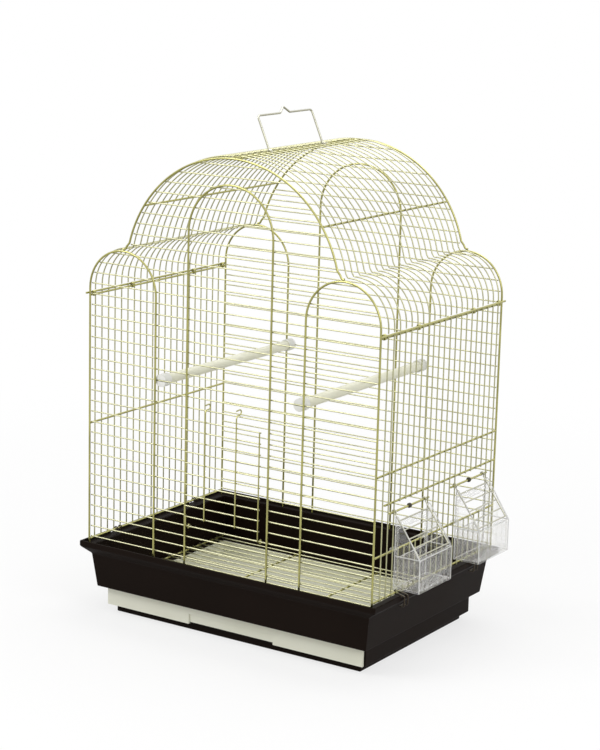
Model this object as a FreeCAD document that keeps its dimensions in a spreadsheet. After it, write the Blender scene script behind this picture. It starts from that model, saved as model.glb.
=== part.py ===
"""Wire bird cage on a moulded base with a slide-out drawer.

Frame: millimetres, +Z up, origin in the middle of the foot's underside.
The front, with the drop-down door and the drawer, faces -Y.
The two clear feeders hang on the right wall, which faces +X.
"""
import FreeCAD, Part
import math
import os

import Sketcher
from FreeCAD import Placement, Rotation, Vector

SIZES = {
    # Wires and the clearances between them
    "frame_wire": 2.5,
    "mesh_wire": 1.6,
    "weld_gap": 0.05,
    "running_gap": 0.4,
    # Cage panels
    "cage_width": 406.0,
    "cage_depth": 280.0,
    "inner_post": 104.8,
    "centre_post": 58.7,
    "first_row": 97.35,
    "row_pitch": 13.12,
    "side_spaces": 22,
    # Roof outline seen from the front
    "shoulder_spring": 406.5,
    "arch_centre": 428.7,
    "arch_rise": 149.2,
    "centre_spring": 489.0,
    "valley_run": 3.6,
    "valley_rise": 4.2,
    "roof_purlin": 513.0,
    "purlin_inset": 0.6,
    "ridge_offset": 4.5,
    "eave_height": 401.0,
    "eave_tip": 4.0,
    # Bars on the side walls
    "sill_height": 94.0,
    "belt_height": 240.0,
    "wall_top": 396.0,
    "feeder_bar": 204.0,
    "feeder_bar_front": 120.0,
    "feeder_sill": 146.0,
    # Moulded base
    "foot_length": 354.0,
    "foot_depth": 234.0,
    "foot_height": 9.8,
    "foot_plate": 2.5,
    "foot_rib": 6.0,
    "plinth_length": 373.0,
    "plinth_depth": 244.6,
    "skirt_height": 33.7,
    "skirt_length": 388.0,
    "skirt_depth": 271.2,
    "flange_height": 76.0,
    "flange_length": 399.0,
    "flange_depth": 280.0,
    "rim_length": 424.0,
    "rim_depth": 296.0,
    "rim_edge": 85.0,
    "rim_height": 92.0,
    "rim_lip": 3.0,
    "seat_height": 88.0,
    "shell_wall": 3.0,
    "bay_floor": 2.0,
    # Floor grille
    "grille_length": 373.0,
    "grille_depth": 243.0,
    "grille_spaces": 18,
    "grille_bar_offset": 61.5,
    # Drawer
    "drawer_panel": 3.4,
    "drawer_wall": 2.0,
    "drawer_gap": 0.3,
    "drawer_height": 20.5,
    "drawer_reveal": 2.0,
    "pull_length": 122.0,
    "pull_height": 12.4,
    "pull_setback": 2.0,
    "pull_slot": 2.2,
    # Front door
    "rows_below_door_count": 4,
    "rows_to_door_top_count": 13,
    "door_left": 57.0,
    "door_right": 49.4,
    "door_left_bar": 28.0,
    "door_right_bar": 16.0,
    "door_edge_bar": 48.5,
    "door_link": 54.5,
    "door_curl": 3.2,
    # Feeders
    "wires_to_front_feeder_count": 6,
    "wires_to_rear_feeder_count": 17,
    "feeder_side_wire_count": 2,
    "cup_width": 73.9,
    "cup_back": 206.4,
    "cup_front": 241.0,
    "cup_bottom": 102.0,
    "cup_rim": 142.0,
    "cup_cheek_top": 188.0,
    "cup_cheek_flat": 3.0,
    "cup_wall": 1.6,
    "cup_window_sill": 138.0,
    "cup_window_head": 171.0,
    "cup_back_top": 181.5,
    "cup_window_margin": 5.0,
    "hook_width": 10.0,
    "hook_drop": 4.0,
    "hinge_rod_height": 191.8,
    "hinge_rod_length": 88.0,
    "hood_width": 68.0,
    "hood_front": 237.4,
    "hood_bottom": 144.2,
    "hood_bars": 5,
    "bead_diameter": 6.0,
    "bead_length": 6.0,
    # Perches
    "perch_diameter": 12.0,
    "perch_offset": 97.5,
    "rows_below_perch_count": 16,
    "cap_diameter": 15.4,
    "cap_length": 12.5,
    "cap_bore": 12.7,
    "cap_floor": 3.5,
    "cap_notch": 2.2,
    "cap_notch_depth": 2.0,
    # Base clips
    "clip_wire": 1.6,
    "clip_offset": 82.75,
    "clip_spread": 7.8,
    "clip_reach": 214.4,
    "clip_foot": 207.4,
    "clip_bottom": 78.0,
    "clip_notch": 13.0,
    "clip_notch_floor": 88.0,
    # Carrying handle
    "handle_spread": 114.0,
    "handle_rise": 45.0,
    "handle_corner": 4.0,
    "handle_hump": 7.5,
    "handle_hump_width": 20.0,
    "handle_lean_angle": 24.0,
}

WIRE_SIDE_COUNT = 6
EYE_SIDE_COUNT = 10
CAP_SIDE_COUNT = 16
SHOULDER_CHORD_COUNT = 5
ARCH_CHORD_COUNT = 8
CORNER_CHORD_COUNT = 2
CURL_CHORD_COUNT = 7
BEAD_END_SHARE = 0.55
EYE_SWEEP_ANGLE = 300
CLIP_EYE_ANGLE = -40
DOOR_CURL_ANGLE = 150
HALF_TURN_ANGLE = 180

doc = FreeCAD.newDocument("bird_cage")
sheet = doc.addObject("Spreadsheet::Sheet", "Sizes")


def fill_sheet():
    """Write every driving dimension with its alias."""
    for index, (alias, value) in enumerate(SIZES.items(), start=1):
        sheet.set(f"A{index}", alias)
        sheet.set(f"B{index}", str(value))
        sheet.setAlias(f"B{index}", alias)
    doc.recompute()


def size(alias):
    """Value of one driving dimension, read back from the sheet."""
    value = sheet.get(alias)
    return getattr(value, "Value", value)


def label(item, name):
    """Give an object its node name."""
    item.Label = name
    return item


# Outlines


def arc_points(centre, radius, start, end, chords):
    """Points of an arc, in degrees, cut into equal chords."""
    points = []
    for step in range(chords + 1):
        angle = math.radians(start + (end - start) * step / chords)
        across = centre[0] + radius * math.cos(angle)
        up = centre[1] + radius * math.sin(angle)
        points.append((across, up))
    return points


def unit(first, second):
    """Unit direction from one plane point to the next."""
    across, up = second[0] - first[0], second[1] - first[1]
    length = math.hypot(across, up)
    return across / length, up / length


def band_outline(path, width):
    """Closed outline of a wire of even width with mitred bends."""
    left, right = [], []
    last = len(path) - 1
    for index, (across, up) in enumerate(path):
        before = unit(path[max(index - 1, 0)], path[max(index, 1)])
        after = unit(path[min(index, last - 1)], path[min(index + 1, last)])
        turn = before[0] * after[0] + before[1] * after[1]
        reach = width / 2 / (1 + turn)
        side_across = -(before[1] + after[1]) * reach
        side_up = (before[0] + after[0]) * reach
        left.append((across + side_across, up + side_up))
        right.append((across - side_across, up - side_up))
    return left + right[::-1]


def mirrored(path):
    """The same path on the other side of the middle."""
    return [(-across, up) for across, up in path]


# Wires


def straight_wire(name, start, end, gauge):
    """Rod between two points, gauge naming its diameter in the sheet."""
    rod = doc.addObject("Part::Prism", name)
    rod.Polygon = WIRE_SIDE_COUNT
    rod.setExpression("Circumradius", f"Sizes.{gauge} / 2")
    rod.Height = (end - start).Length
    rod.Placement = Placement(start, Rotation(Vector(0, 0, 1), end - start))
    return rod


def bent_wire(name, path, gauge, plane, place):
    """Wire bent in the XZ or YZ plane, centred on the plane at place."""
    outline = doc.addObject("Part::Polygon", name + "_outline")
    corners = band_outline(path, size(gauge))
    if plane == "XZ":
        outline.Nodes = [Vector(across, place, up) for across, up in corners]
        direction = Vector(0, 1, 0)
    else:
        outline.Nodes = [Vector(place, across, up) for across, up in corners]
        direction = Vector(1, 0, 0)
    outline.Close = True
    wire = doc.addObject("Part::Extrusion", name)
    wire.Base = outline
    wire.DirMode = "Custom"
    wire.Dir = direction
    wire.setExpression("LengthFwd", f"Sizes.{gauge}")
    wire.Symmetric = True
    wire.Solid = True
    return wire


def gather(name, members):
    """One welded assembly of wires that lie against each other."""
    group = doc.addObject("Part::Compound", name)
    group.Links = members
    return label(group, name)


def weld(name, members):
    """One solid made of members that run into each other."""
    joined = doc.addObject("Part::MultiFuse", name)
    joined.Shapes = members
    return label(joined, name)


def ring(name, centre, inner, outer, thickness):
    """Eye about the Y direction, centred on a point."""
    turn = Rotation(Vector(0, 0, 1), Vector(0, 1, 0))
    walls = []
    for part, radius, length in (("outer", outer, thickness), ("bore", inner, 2 * thickness)):
        wall = doc.addObject("Part::Prism", f"{name}_{part}")
        wall.Polygon = EYE_SIDE_COUNT
        wall.Circumradius = radius
        wall.Height = length
        wall.Placement = Placement(centre - Vector(0, length / 2, 0), turn)
        walls.append(wall)
    eye = doc.addObject("Part::Cut", name)
    eye.Base, eye.Tool = walls
    return eye


# Places worked out from the driving dimensions


def post_x():
    return size("cage_width") / 2


def frame_y():
    return size("cage_depth") / 2


def shoulder():
    """Centre across and radius of a shoulder arch."""
    centre = (post_x() + size("inner_post")) / 2
    return centre, post_x() - centre


def stacked(first, second):
    """Distance between the middles of two crossing wires."""
    return (size(first) + size(second)) / 2 + size("weld_gap")


def row_y():
    """Middle of the front rows, just inside the frame."""
    return stacked("frame_wire", "mesh_wire") - frame_y()


def mesh_x():
    """Middle of the right wall's upright wires, just outside the posts."""
    return post_x() + stacked("frame_wire", "mesh_wire")


def row_height(number):
    return size("first_row") + size("row_pitch") * number


def row_count():
    """Number of rows that fit under the top of the main arch."""
    top = size("arch_centre") + size("arch_rise") - size("frame_wire")
    return int((top - size("first_row")) / size("row_pitch")) + 1


def side_pitch():
    return size("cage_depth") / size("side_spaces")


def wire_y(number):
    """Place of one of the side wires, counted from the front."""
    return side_pitch() * number - frame_y()


def bar_end():
    """Where a bar along the cage meets the front and back frames."""
    return frame_y() - size("frame_wire") / 2 - size("weld_gap")


def row_reach(height):
    """Half length of a row at a height under the roof's outline."""
    centre, radius = shoulder()
    rise = height - size("shoulder_spring")
    if rise <= 0:
        reach = post_x()
    elif rise < radius:
        reach = centre + math.sqrt(radius**2 - rise**2)
    else:
        rise = height - size("arch_centre")
        reach = math.sqrt(size("arch_rise") ** 2 - rise**2)
    return reach - size("frame_wire") / 2 - size("weld_gap")


def arch_point_x(height, offset=0):
    """Half width of the main arch at a height."""
    radius = size("arch_rise") + offset
    return math.sqrt(radius**2 - (height - size("arch_centre")) ** 2)


# Front and back frames


def shoulder_path():
    """Post, shoulder arch and inner post in one bent wire."""
    centre, radius = shoulder()
    top = arc_points((centre, size("shoulder_spring")), radius, 0, HALF_TURN_ANGLE, 2 * SHOULDER_CHORD_COUNT)
    foot = size("seat_height") + size("weld_gap")
    return [(post_x(), foot)] + top + [(size("inner_post"), foot)]


def centre_path():
    """Two posts joined by the middle arch."""
    radius = size("centre_post")
    top = arc_points((0, size("centre_spring")), radius, 0, HALF_TURN_ANGLE, 2 * SHOULDER_CHORD_COUNT)
    foot = size("seat_height") + size("weld_gap")
    return [(radius, foot)] + top + [(-radius, foot)]


def valley(offset):
    """Bend from the shoulder's top towards the main arch."""
    centre, radius = shoulder()
    low = size("shoulder_spring") + radius + offset
    across = arch_point_x(low + 2 * size("valley_rise"), offset)
    run = size("valley_run")
    return [(centre, low), (centre - run, low), (across + offset / 2, low + size("valley_rise"))]


def arch_angle(bend, radius):
    """Angle at which the main arch starts above the bend."""
    rise = bend[2][1] + size("valley_rise") - size("arch_centre")
    return math.degrees(math.asin(rise / radius))


def arch_path():
    """Main arch from one shoulder's top to the other."""
    bend = valley(size("frame_wire") + size("weld_gap"))
    radius = size("arch_rise")
    start = arch_angle(bend, radius)
    top = arc_points((0, size("arch_centre")), radius, start, HALF_TURN_ANGLE - start, 2 * ARCH_CHORD_COUNT)
    return bend + top + mirrored(bend)[::-1]


def panel_frame(name, place):
    """Posts and arches of the front or back panel."""
    parts = [
        bent_wire(f"{name}_right", shoulder_path(), "frame_wire", "XZ", place),
        bent_wire(f"{name}_left", mirrored(shoulder_path()), "frame_wire", "XZ", place),
        bent_wire(f"{name}_arch", arch_path(), "frame_wire", "XZ", place),
        bent_wire(f"{name}_centre", centre_path(), "frame_wire", "XZ", place),
    ]
    return gather(name, parts)


def row_group(name, place, numbers, start=None, end=None):
    """Horizontal wires of a panel, each ending at the outline or at an edge."""
    rows = []
    for number in numbers:
        height = row_height(number)
        reach = row_reach(height)
        left = Vector(-reach if start is None else start, place, height)
        right = Vector(reach if end is None else end, place, height)
        rows.append(straight_wire(f"{name}_{number}", left, right, "mesh_wire"))
    return gather(name, rows)


def front_rows():
    """Rows of the front panel, open behind the door."""
    place = row_y()
    first = int(size("rows_below_door_count"))
    last = int(size("rows_to_door_top_count"))
    edge = size("centre_post")
    beside = range(first, last + 1)
    return [
        row_group("front_rows_lower", place, range(first)),
        row_group("front_rows_left", place, beside, end=-edge),
        row_group("front_rows_right", place, beside, start=edge),
        row_group("front_rows_upper", place, range(last + 1, row_count())),
    ]


# Side walls and roof


def bar_along(name, across, height, gauge="frame_wire", front=None, back=None):
    """Bar along the cage at one place across and one height."""
    near = -bar_end() if front is None else front
    far = bar_end() if back is None else back
    return straight_wire(name, Vector(across, near, height), Vector(across, far, height), gauge)


def wall_bars(name, side):
    """Sill, belt and top bar of a side wall."""
    heights = ("sill_height", "belt_height", "wall_top")
    return gather(name, [bar_along(f"{name}_{item}", side * post_x(), size(item)) for item in heights])


def upright_spans(number, feeders):
    """Heights between which an upright wire runs, open behind a feeder."""
    bottom = size("sill_height") - size("frame_wire") / 2
    top = size("eave_height") - size("frame_wire") / 2 - size("weld_gap")
    if all(abs(number - feeder) > size("feeder_side_wire_count") for feeder in feeders):
        return [(bottom, top)]
    half = size("frame_wire") / 2
    return [(bottom, size("feeder_sill") + half), (size("feeder_bar") - half, top)]


def wall_wires(name, side, feeders=()):
    """Upright wires of a side wall."""
    wires = []
    for number in range(1, int(size("side_spaces"))):
        for low, high in upright_spans(number, feeders):
            start = Vector(side * mesh_x(), wire_y(number), low)
            end = Vector(side * mesh_x(), wire_y(number), high)
            wires.append(straight_wire(f"{name}_{number}_{low:.0f}", start, end, "mesh_wire"))
    return gather(name, wires)


def feeder_bars():
    """The two bars that frame the feeder openings in the right wall."""
    front = -size("feeder_bar_front")
    upper = bar_along("feeder_bar_upper", post_x(), size("feeder_bar"), front=front)
    lower = bar_along("feeder_bar_lower", post_x(), size("feeder_sill"))
    return [label(upper, "feeder_bar_upper"), label(lower, "feeder_bar_lower")]


def roof_path(side):
    """Roof wire from the eave over the shoulder to the ridge."""
    offset = stacked("frame_wire", "mesh_wire")
    centre, radius = shoulder()
    eave = size("eave_height") + size("frame_wire") / 2 + size("weld_gap")
    rise = size("arch_rise") + offset
    bend = valley(offset)
    start = arch_angle(bend, rise)
    end = math.degrees(math.acos(size("ridge_offset") / rise))
    over = arc_points((centre, size("shoulder_spring")), radius + offset, 0, 90, SHOULDER_CHORD_COUNT)
    top = arc_points((0, size("arch_centre")), rise, start, end, ARCH_CHORD_COUNT)
    path = [(mesh_x(), eave)] + over + bend[1:] + top
    return path if side > 0 else mirrored(path)


def roof_wires(name, side):
    """The bent wires of one half of the roof."""
    path = roof_path(side)
    numbers = range(1, int(size("side_spaces")))
    wires = [bent_wire(f"{name}_{n}", path, "mesh_wire", "XZ", wire_y(n)) for n in numbers]
    return gather(name, wires)


def ridge_height():
    return size("arch_centre") + math.sqrt(size("arch_rise") ** 2 - size("ridge_offset") ** 2)


def roof_bars(name, side):
    """Eave bar, purlin and ridge bar of one half of the roof."""
    eave_x = post_x() + size("frame_wire") + size("weld_gap")
    tip = frame_y() + size("eave_tip")
    purlin_x = arch_point_x(size("roof_purlin"), -size("purlin_inset"))
    bars = [
        bar_along(f"{name}_eave", side * eave_x, size("eave_height"), front=-tip, back=tip),
        bar_along(f"{name}_purlin", side * purlin_x, size("roof_purlin")),
        bar_along(f"{name}_ridge", side * size("ridge_offset"), ridge_height()),
    ]
    return gather(name, bars)


# Sketched bodies


def new_body(name):
    body = doc.addObject("PartDesign::Body", name)
    return label(body, name)


def origin_plane(body, role):
    return next(item for item in body.Origin.OriginFeatures if item.Role == role)


def new_sketch(body, name, role, offset):
    """Sketch on one of the body's own planes, moved by offset."""
    sketch = body.newObject("Sketcher::SketchObject", name)
    sketch.AttachmentSupport = [(origin_plane(body, role), "")]
    sketch.MapMode = "FlatFace"
    sketch.AttachmentOffset = Placement(offset, Rotation())
    return sketch


def closed_lines(sketch, corners):
    """Closed outline of straight lines through the corners."""
    first = len(sketch.Geometry)
    count = len(corners)
    for index in range(count):
        start, end = corners[index], corners[(index + 1) % count]
        sketch.addGeometry(Part.LineSegment(Vector(*start, 0), Vector(*end, 0)), False)
    for index in range(count):
        joint = Sketcher.Constraint("Coincident", first + index, 2, first + (index + 1) % count, 1)
        sketch.addConstraint(joint)
    return first


def add_rectangle(sketch, length, depth):
    """Rectangle about the sketch's origin, sizes given as expressions."""
    half = [(-1, -1), (1, -1), (1, 1), (-1, 1)]
    first = closed_lines(sketch, [(x * size("foot_rib"), y * size("foot_rib")) for x, y in half])
    for index, kind in enumerate(("Horizontal", "Vertical", "Horizontal", "Vertical")):
        sketch.addConstraint(Sketcher.Constraint(kind, first + index))
    sketch.addConstraint(Sketcher.Constraint("Symmetric", first, 1, first + 2, 1, -1, 1))
    start = size("foot_rib")
    for kind, line, text in (("DistanceX", first, length), ("DistanceY", first + 1, depth)):
        index = sketch.addConstraint(Sketcher.Constraint(kind, line, 1, line, 2, start))
        sketch.renameConstraint(index, kind)
        sketch.setExpression(f"Constraints.{kind}", text)


def level_rectangle(body, name, height, length, depth, shift="0"):
    """Rectangle in a level plane, with its height and shift as expressions."""
    sketch = new_sketch(body, name, "XY_Plane", Vector())
    sketch.setExpression("AttachmentOffset.Base.z", height)
    sketch.setExpression("AttachmentOffset.Base.y", shift)
    add_rectangle(sketch, length, depth)
    return sketch


def extrude(body, kind, name, sketch, length):
    """Pad or pocket of a sketch, its length an expression."""
    feature = body.newObject(f"PartDesign::{kind}", name)
    feature.Profile = sketch
    feature.setExpression("Length", length)
    return feature


def loft(body, kind, name, first, second):
    feature = body.newObject(f"PartDesign::{kind}", name)
    feature.Profile = first
    feature.Sections = [second]
    feature.Ruled = True
    return feature


def base_tray():
    """Moulded base: foot, plinth, tapered skirt, flange and rim."""
    body = new_body("base_tray")
    foot = level_rectangle(body, "foot", "0 mm", "Sizes.foot_length", "Sizes.foot_depth")
    extrude(body, "Pad", "foot_pad", foot, "Sizes.foot_height")
    plinth = level_rectangle(
        body, "plinth", "Sizes.foot_height", "Sizes.plinth_length", "Sizes.plinth_depth"
    )
    extrude(body, "Pad", "plinth_pad", plinth, "Sizes.skirt_height - Sizes.foot_height")
    sections = [
        level_rectangle(body, name, f"Sizes.{height}", f"Sizes.{side}_length", f"Sizes.{side}_depth")
        for name, height, side in (
            ("skirt_low", "skirt_height", "skirt"),
            ("skirt_high", "flange_height", "flange"),
            ("flange_low", "flange_height", "flange"),
            ("flange_high", "rim_edge", "rim"),
            ("rim_low", "rim_edge", "rim"),
        )
    ]
    loft(body, "AdditiveLoft", "skirt", sections[0], sections[1])
    loft(body, "AdditiveLoft", "flange", sections[2], sections[3])
    extrude(body, "Pad", "rim", sections[4], "Sizes.rim_height - Sizes.rim_edge")
    seat = level_rectangle(
        body,
        "seat",
        "Sizes.rim_height",
        "Sizes.rim_length - 2 * Sizes.rim_lip",
        "Sizes.rim_depth - 2 * Sizes.rim_lip",
    )
    extrude(body, "Pocket", "seat_pocket", seat, "Sizes.rim_height - Sizes.seat_height")
    well = [
        level_rectangle(
            body,
            name,
            height,
            f"Sizes.{side}_length - 2 * Sizes.shell_wall",
            f"Sizes.{side}_depth - 2 * Sizes.shell_wall",
        )
        for name, height, side in (
            ("well_low", "Sizes.skirt_height + Sizes.shell_wall", "skirt"),
            ("well_high", "Sizes.seat_height", "flange"),
        )
    ]
    loft(body, "SubtractiveLoft", "well", well[0], well[1])
    bay_length = "Sizes.plinth_length - 2 * Sizes.shell_wall"
    hatch = level_rectangle(
        body,
        "hatch",
        "Sizes.skirt_height + Sizes.shell_wall",
        bay_length,
        "Sizes.plinth_depth - 2 * Sizes.shell_wall",
    )
    extrude(body, "Pocket", "hatch_pocket", hatch, "Sizes.shell_wall")
    bay = level_rectangle(
        body,
        "bay",
        "Sizes.skirt_height",
        bay_length,
        "Sizes.plinth_depth",
        "-Sizes.shell_wall",
    )
    bay_height = "Sizes.skirt_height - Sizes.foot_height - Sizes.bay_floor"
    extrude(body, "Pocket", "bay_pocket", bay, bay_height)
    sump_top = "Sizes.foot_height + Sizes.bay_floor"
    sump = level_rectangle(
        body,
        "sump",
        sump_top,
        "Sizes.foot_length - 2 * Sizes.foot_rib",
        "Sizes.foot_depth - 2 * Sizes.foot_rib",
    )
    extrude(body, "Pocket", "sump_pocket", sump, f"{sump_top} - Sizes.foot_plate")
    for side in (-1, 1):
        for end in (-1, 1):
            name = f"clip_notch_{'right' if side > 0 else 'left'}_{'rear' if end > 0 else 'front'}"
            notch = level_rectangle(
                body,
                name,
                "Sizes.rim_height",
                "3 * Sizes.rim_lip",
                "Sizes.clip_notch",
                f"{end} * Sizes.clip_offset",
            )
            notch.setExpression("AttachmentOffset.Base.x", f"{side} * Sizes.rim_length / 2")
            extrude(
                body, "Pocket", name + "_cut", notch, "Sizes.rim_height - Sizes.clip_notch_floor"
            )
    return body


def drawer():
    """Open pan with a front panel and a finger pull."""
    body = new_body("drawer")
    gap = "2 * Sizes.drawer_gap"
    low = "Sizes.foot_height + Sizes.drawer_gap"
    floor = f"{low} + Sizes.bay_floor"
    wall = "2 * Sizes.shell_wall"
    length = f"Sizes.plinth_length - {wall} - {gap}"
    depth = "Sizes.plinth_depth - Sizes.shell_wall"
    shift = "-(Sizes.shell_wall / 2 + Sizes.drawer_gap)"
    pan = level_rectangle(body, "pan", floor, length, depth, shift)
    extrude(body, "Pad", "pan_pad", pan, "Sizes.drawer_height")
    inside = "2 * Sizes.drawer_wall"
    well = level_rectangle(
        body,
        "well",
        f"{floor} + Sizes.drawer_height",
        f"{length} - {inside}",
        f"{depth} - {inside}",
        shift,
    )
    extrude(body, "Pocket", "well_pocket", well, "Sizes.drawer_height - Sizes.drawer_wall")
    front = "(Sizes.plinth_depth / 2 + Sizes.drawer_gap + Sizes.drawer_panel / 2)"
    panel_height = "Sizes.skirt_height - Sizes.foot_height - 2 * Sizes.drawer_gap"
    panel = level_rectangle(
        body,
        "panel",
        low,
        "Sizes.plinth_length - 2 * Sizes.drawer_reveal",
        "Sizes.drawer_panel",
        f"-{front}",
    )
    extrude(body, "Pad", "panel_pad", panel, panel_height)
    face = "(Sizes.plinth_depth / 2 + Sizes.drawer_gap + Sizes.drawer_panel)"
    pull = level_rectangle(
        body,
        "pull",
        f"{low} + Sizes.pull_height",
        "Sizes.pull_length",
        "2 * Sizes.pull_setback",
        f"-{face}",
    )
    extrude(body, "Pocket", "pull_pocket", pull, "Sizes.pull_height")
    slot = level_rectangle(
        body,
        "slot",
        f"{low} + Sizes.pull_slot",
        "Sizes.pull_length",
        "2 * Sizes.drawer_panel",
        f"-{face}",
    )
    extrude(body, "Pocket", "slot_pocket", slot, "Sizes.pull_slot")
    return body


def upright_profile(body, name, corners, shift):
    """Outline in the XZ plane, moved along Y by shift."""
    sketch = new_sketch(body, name, "XZ_Plane", Vector(0, 0, -shift))
    closed_lines(sketch, corners)
    return sketch


def symmetric(body, kind, name, sketch, length):
    """Pad or pocket to both sides of its sketch."""
    feature = extrude(body, kind, name, sketch, length)
    feature.Midplane = True
    return feature


def feeder_cup(name, place):
    """Clear cup with high sloping cheeks, a window to the cage and two hooks."""
    body = new_body(name)
    back, front = size("cup_back"), size("cup_front")
    wall, bottom = size("cup_wall"), size("cup_bottom")
    cheek = [
        (back, bottom),
        (front, bottom),
        (front, size("cup_rim")),
        (back + size("cup_cheek_flat"), size("cup_cheek_top")),
        (back, size("cup_cheek_top")),
    ]
    symmetric(body, "Pad", "cheeks", upright_profile(body, "cheek", cheek, place), "Sizes.cup_width")
    above = size("cup_cheek_top") + wall
    inside = [
        (back + wall, bottom + wall),
        (front - wall, bottom + wall),
        (front - wall, above),
        (back + wall, above),
    ]
    room = "Sizes.cup_width - 2 * Sizes.cup_wall"
    symmetric(body, "Pocket", "inside", upright_profile(body, "room", inside, place), room)
    window = [
        (back - wall, size("cup_window_sill")),
        (back + 2 * wall, size("cup_window_sill")),
        (back + 2 * wall, size("cup_window_head")),
        (back - wall, size("cup_window_head")),
    ]
    opening = f"{room} - 2 * Sizes.cup_window_margin"
    symmetric(body, "Pocket", "window", upright_profile(body, "view", window, place), opening)
    top = [
        (back - wall, size("cup_back_top")),
        (back + wall, size("cup_back_top")),
        (back + wall, above),
        (back - wall, above),
    ]
    symmetric(body, "Pocket", "back_top", upright_profile(body, "gap", top, place), room)
    for end in (-1, 1):
        sill = size("feeder_sill") + size("frame_wire") / 2 + size("weld_gap")
        inner = post_x() - size("frame_wire") / 2 - size("weld_gap")
        hook = [
            (inner - wall, sill + wall),
            (inner - wall, sill - size("hook_drop")),
            (inner, sill - size("hook_drop")),
            (inner, sill),
            (back + wall / 2, sill),
            (back + wall / 2, sill + wall),
        ]
        middle = place + end * (size("cup_width") / 2 - size("hook_width") / 2)
        profile = upright_profile(body, f"hook_{end + 1}", hook, middle)
        symmetric(body, "Pad", f"hook_pad_{end + 1}", profile, "Sizes.hook_width")
    return body


def eye_path(centre, radius, entry, sweep):
    """Open eye round a centre, from the entry angle through sweep degrees."""
    return arc_points(centre, radius, entry, entry + sweep, EYE_SIDE_COUNT)


def eye_radius(rod, gauge):
    """Middle radius of an eye that turns on a rod."""
    return (size(rod) + size(gauge)) / 2 + size("running_gap")


def feeder_hood(name, place):
    """Wire guard over a cup: two side wires hung on the hinge rod and five bars."""
    hinge = (post_x(), size("hinge_rod_height"))
    radius = eye_radius("frame_wire", "mesh_wire")
    low = (size("hood_front"), size("hood_bottom"))
    slope = unit(hinge, low)
    entry = math.degrees(math.atan2(slope[1], slope[0]))
    path = [low] + eye_path(hinge, radius, entry, EYE_SWEEP_ANGLE)
    half = size("hood_width") / 2
    parts = [
        bent_wire(f"{name}_side_{end + 1}", path, "mesh_wire", "XZ", place + end * half)
        for end in (-1, 1)
    ]
    span = math.hypot(low[0] - hinge[0], low[1] - hinge[1])
    bars = int(size("hood_bars"))
    for number in range(1, bars + 1):
        reach = span * number / bars - (size("mesh_wire") / 2 if number == bars else 0)
        across = hinge[0] + slope[0] * reach
        up = hinge[1] + slope[1] * reach
        start = Vector(across, place - half, up)
        end = Vector(across, place + half, up)
        parts.append(straight_wire(f"{name}_bar_{number}", start, end, "mesh_wire"))
    return weld(name, parts)


def hinge_rod(name, place):
    """Rod across a feeder opening that the hood turns on."""
    half = size("hinge_rod_length") / 2
    rod = bar_along(
        name, post_x(), size("hinge_rod_height"), front=place - half, back=place + half
    )
    return label(rod, name)


def feeder_bead(name, place):
    """Bead threaded on the hinge rod."""
    bore = size("frame_wire") / 2 + size("weld_gap")
    radius, half = size("bead_diameter") / 2, size("bead_length") / 2
    end = radius * BEAD_END_SHARE
    profile = [(bore, -half), (end, -half), (radius, 0), (end, half), (bore, half)]
    middle = Vector(post_x(), place, size("hinge_rod_height"))
    outline = doc.addObject("Part::Polygon", name + "_outline")
    outline.Nodes = [middle + Vector(across, along, 0) for across, along in profile]
    outline.Close = True
    bead = doc.addObject("Part::Revolution", name)
    bead.Source = outline
    bead.Base = middle
    bead.Axis = Vector(0, 1, 0)
    bead.Angle = 360
    bead.Solid = True
    return label(bead, name)


def feeders():
    """Everything that belongs to the two feeders."""
    parts = feeder_bars()
    for end, alias in (("front", "wires_to_front_feeder_count"), ("rear", "wires_to_rear_feeder_count")):
        place = wire_y(size(alias))
        parts.append(feeder_cup(f"feeder_cup_{end}", place))
        parts.append(feeder_hood(f"feeder_hood_{end}", place))
        parts.append(hinge_rod(f"feeder_hinge_rod_{end}", place))
        parts.append(feeder_bead(f"feeder_bead_{end}", place))
    return parts


# Front door


def door_y():
    """Middle of the door's rows, just in front of the posts."""
    gap = size("running_gap")
    return -frame_y() - size("frame_wire") / 2 - gap - size("mesh_wire") / 2


def door_bar_y():
    return door_y() - stacked("mesh_wire", "mesh_wire")


def door_bar_path():
    """Upright door wire whose top curls over the row above the door."""
    above = row_height(size("rows_to_door_top_count") + 1)
    radius = size("door_curl")
    low = above + size("mesh_wire") + size("running_gap")
    centre = (row_y(), low + radius)
    curl = arc_points(centre, radius, -90, DOOR_CURL_ANGLE, CURL_CHORD_COUNT)
    bottom = row_height(size("rows_below_door_count")) - size("mesh_wire") / 2
    knee = [(door_bar_y(), bottom), (door_bar_y(), low - radius), (door_bar_y() + radius / 2, low)]
    return knee + curl


def door_eye_path(top):
    """Upright wire from a height down to an eye round the row under the door."""
    centre = (row_y(), row_height(size("rows_below_door_count") - 1))
    radius = eye_radius("mesh_wire", "mesh_wire")
    return [(door_bar_y(), top), (door_bar_y(), centre[1] + radius)] + eye_path(
        centre, radius, HALF_TURN_ANGLE, EYE_SWEEP_ANGLE
    )


def front_door():
    """Drop-down door: rows, two curled uprights, an edge wire and a link."""
    first, last = int(size("rows_below_door_count")), int(size("rows_to_door_top_count"))
    parts = []
    for number in range(first, last + 1):
        height = row_height(number)
        start = Vector(-size("door_left"), door_y(), height)
        end = Vector(size("door_right"), door_y(), height)
        parts.append(straight_wire(f"door_row_{number}", start, end, "mesh_wire"))
    for name, place in (("left", -size("door_left_bar")), ("right", size("door_right_bar"))):
        parts.append(bent_wire(f"door_bar_{name}", door_bar_path(), "mesh_wire", "YZ", place))
    half = size("mesh_wire") / 2
    edge = door_eye_path(row_height(last) + half)
    link = door_eye_path(row_height(first) + half)
    parts.append(bent_wire("door_edge", edge, "mesh_wire", "YZ", size("door_edge_bar")))
    parts.append(bent_wire("door_link_wire", link, "mesh_wire", "YZ", -size("door_link")))
    return gather("front_door", parts)


# Floor grille


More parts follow.
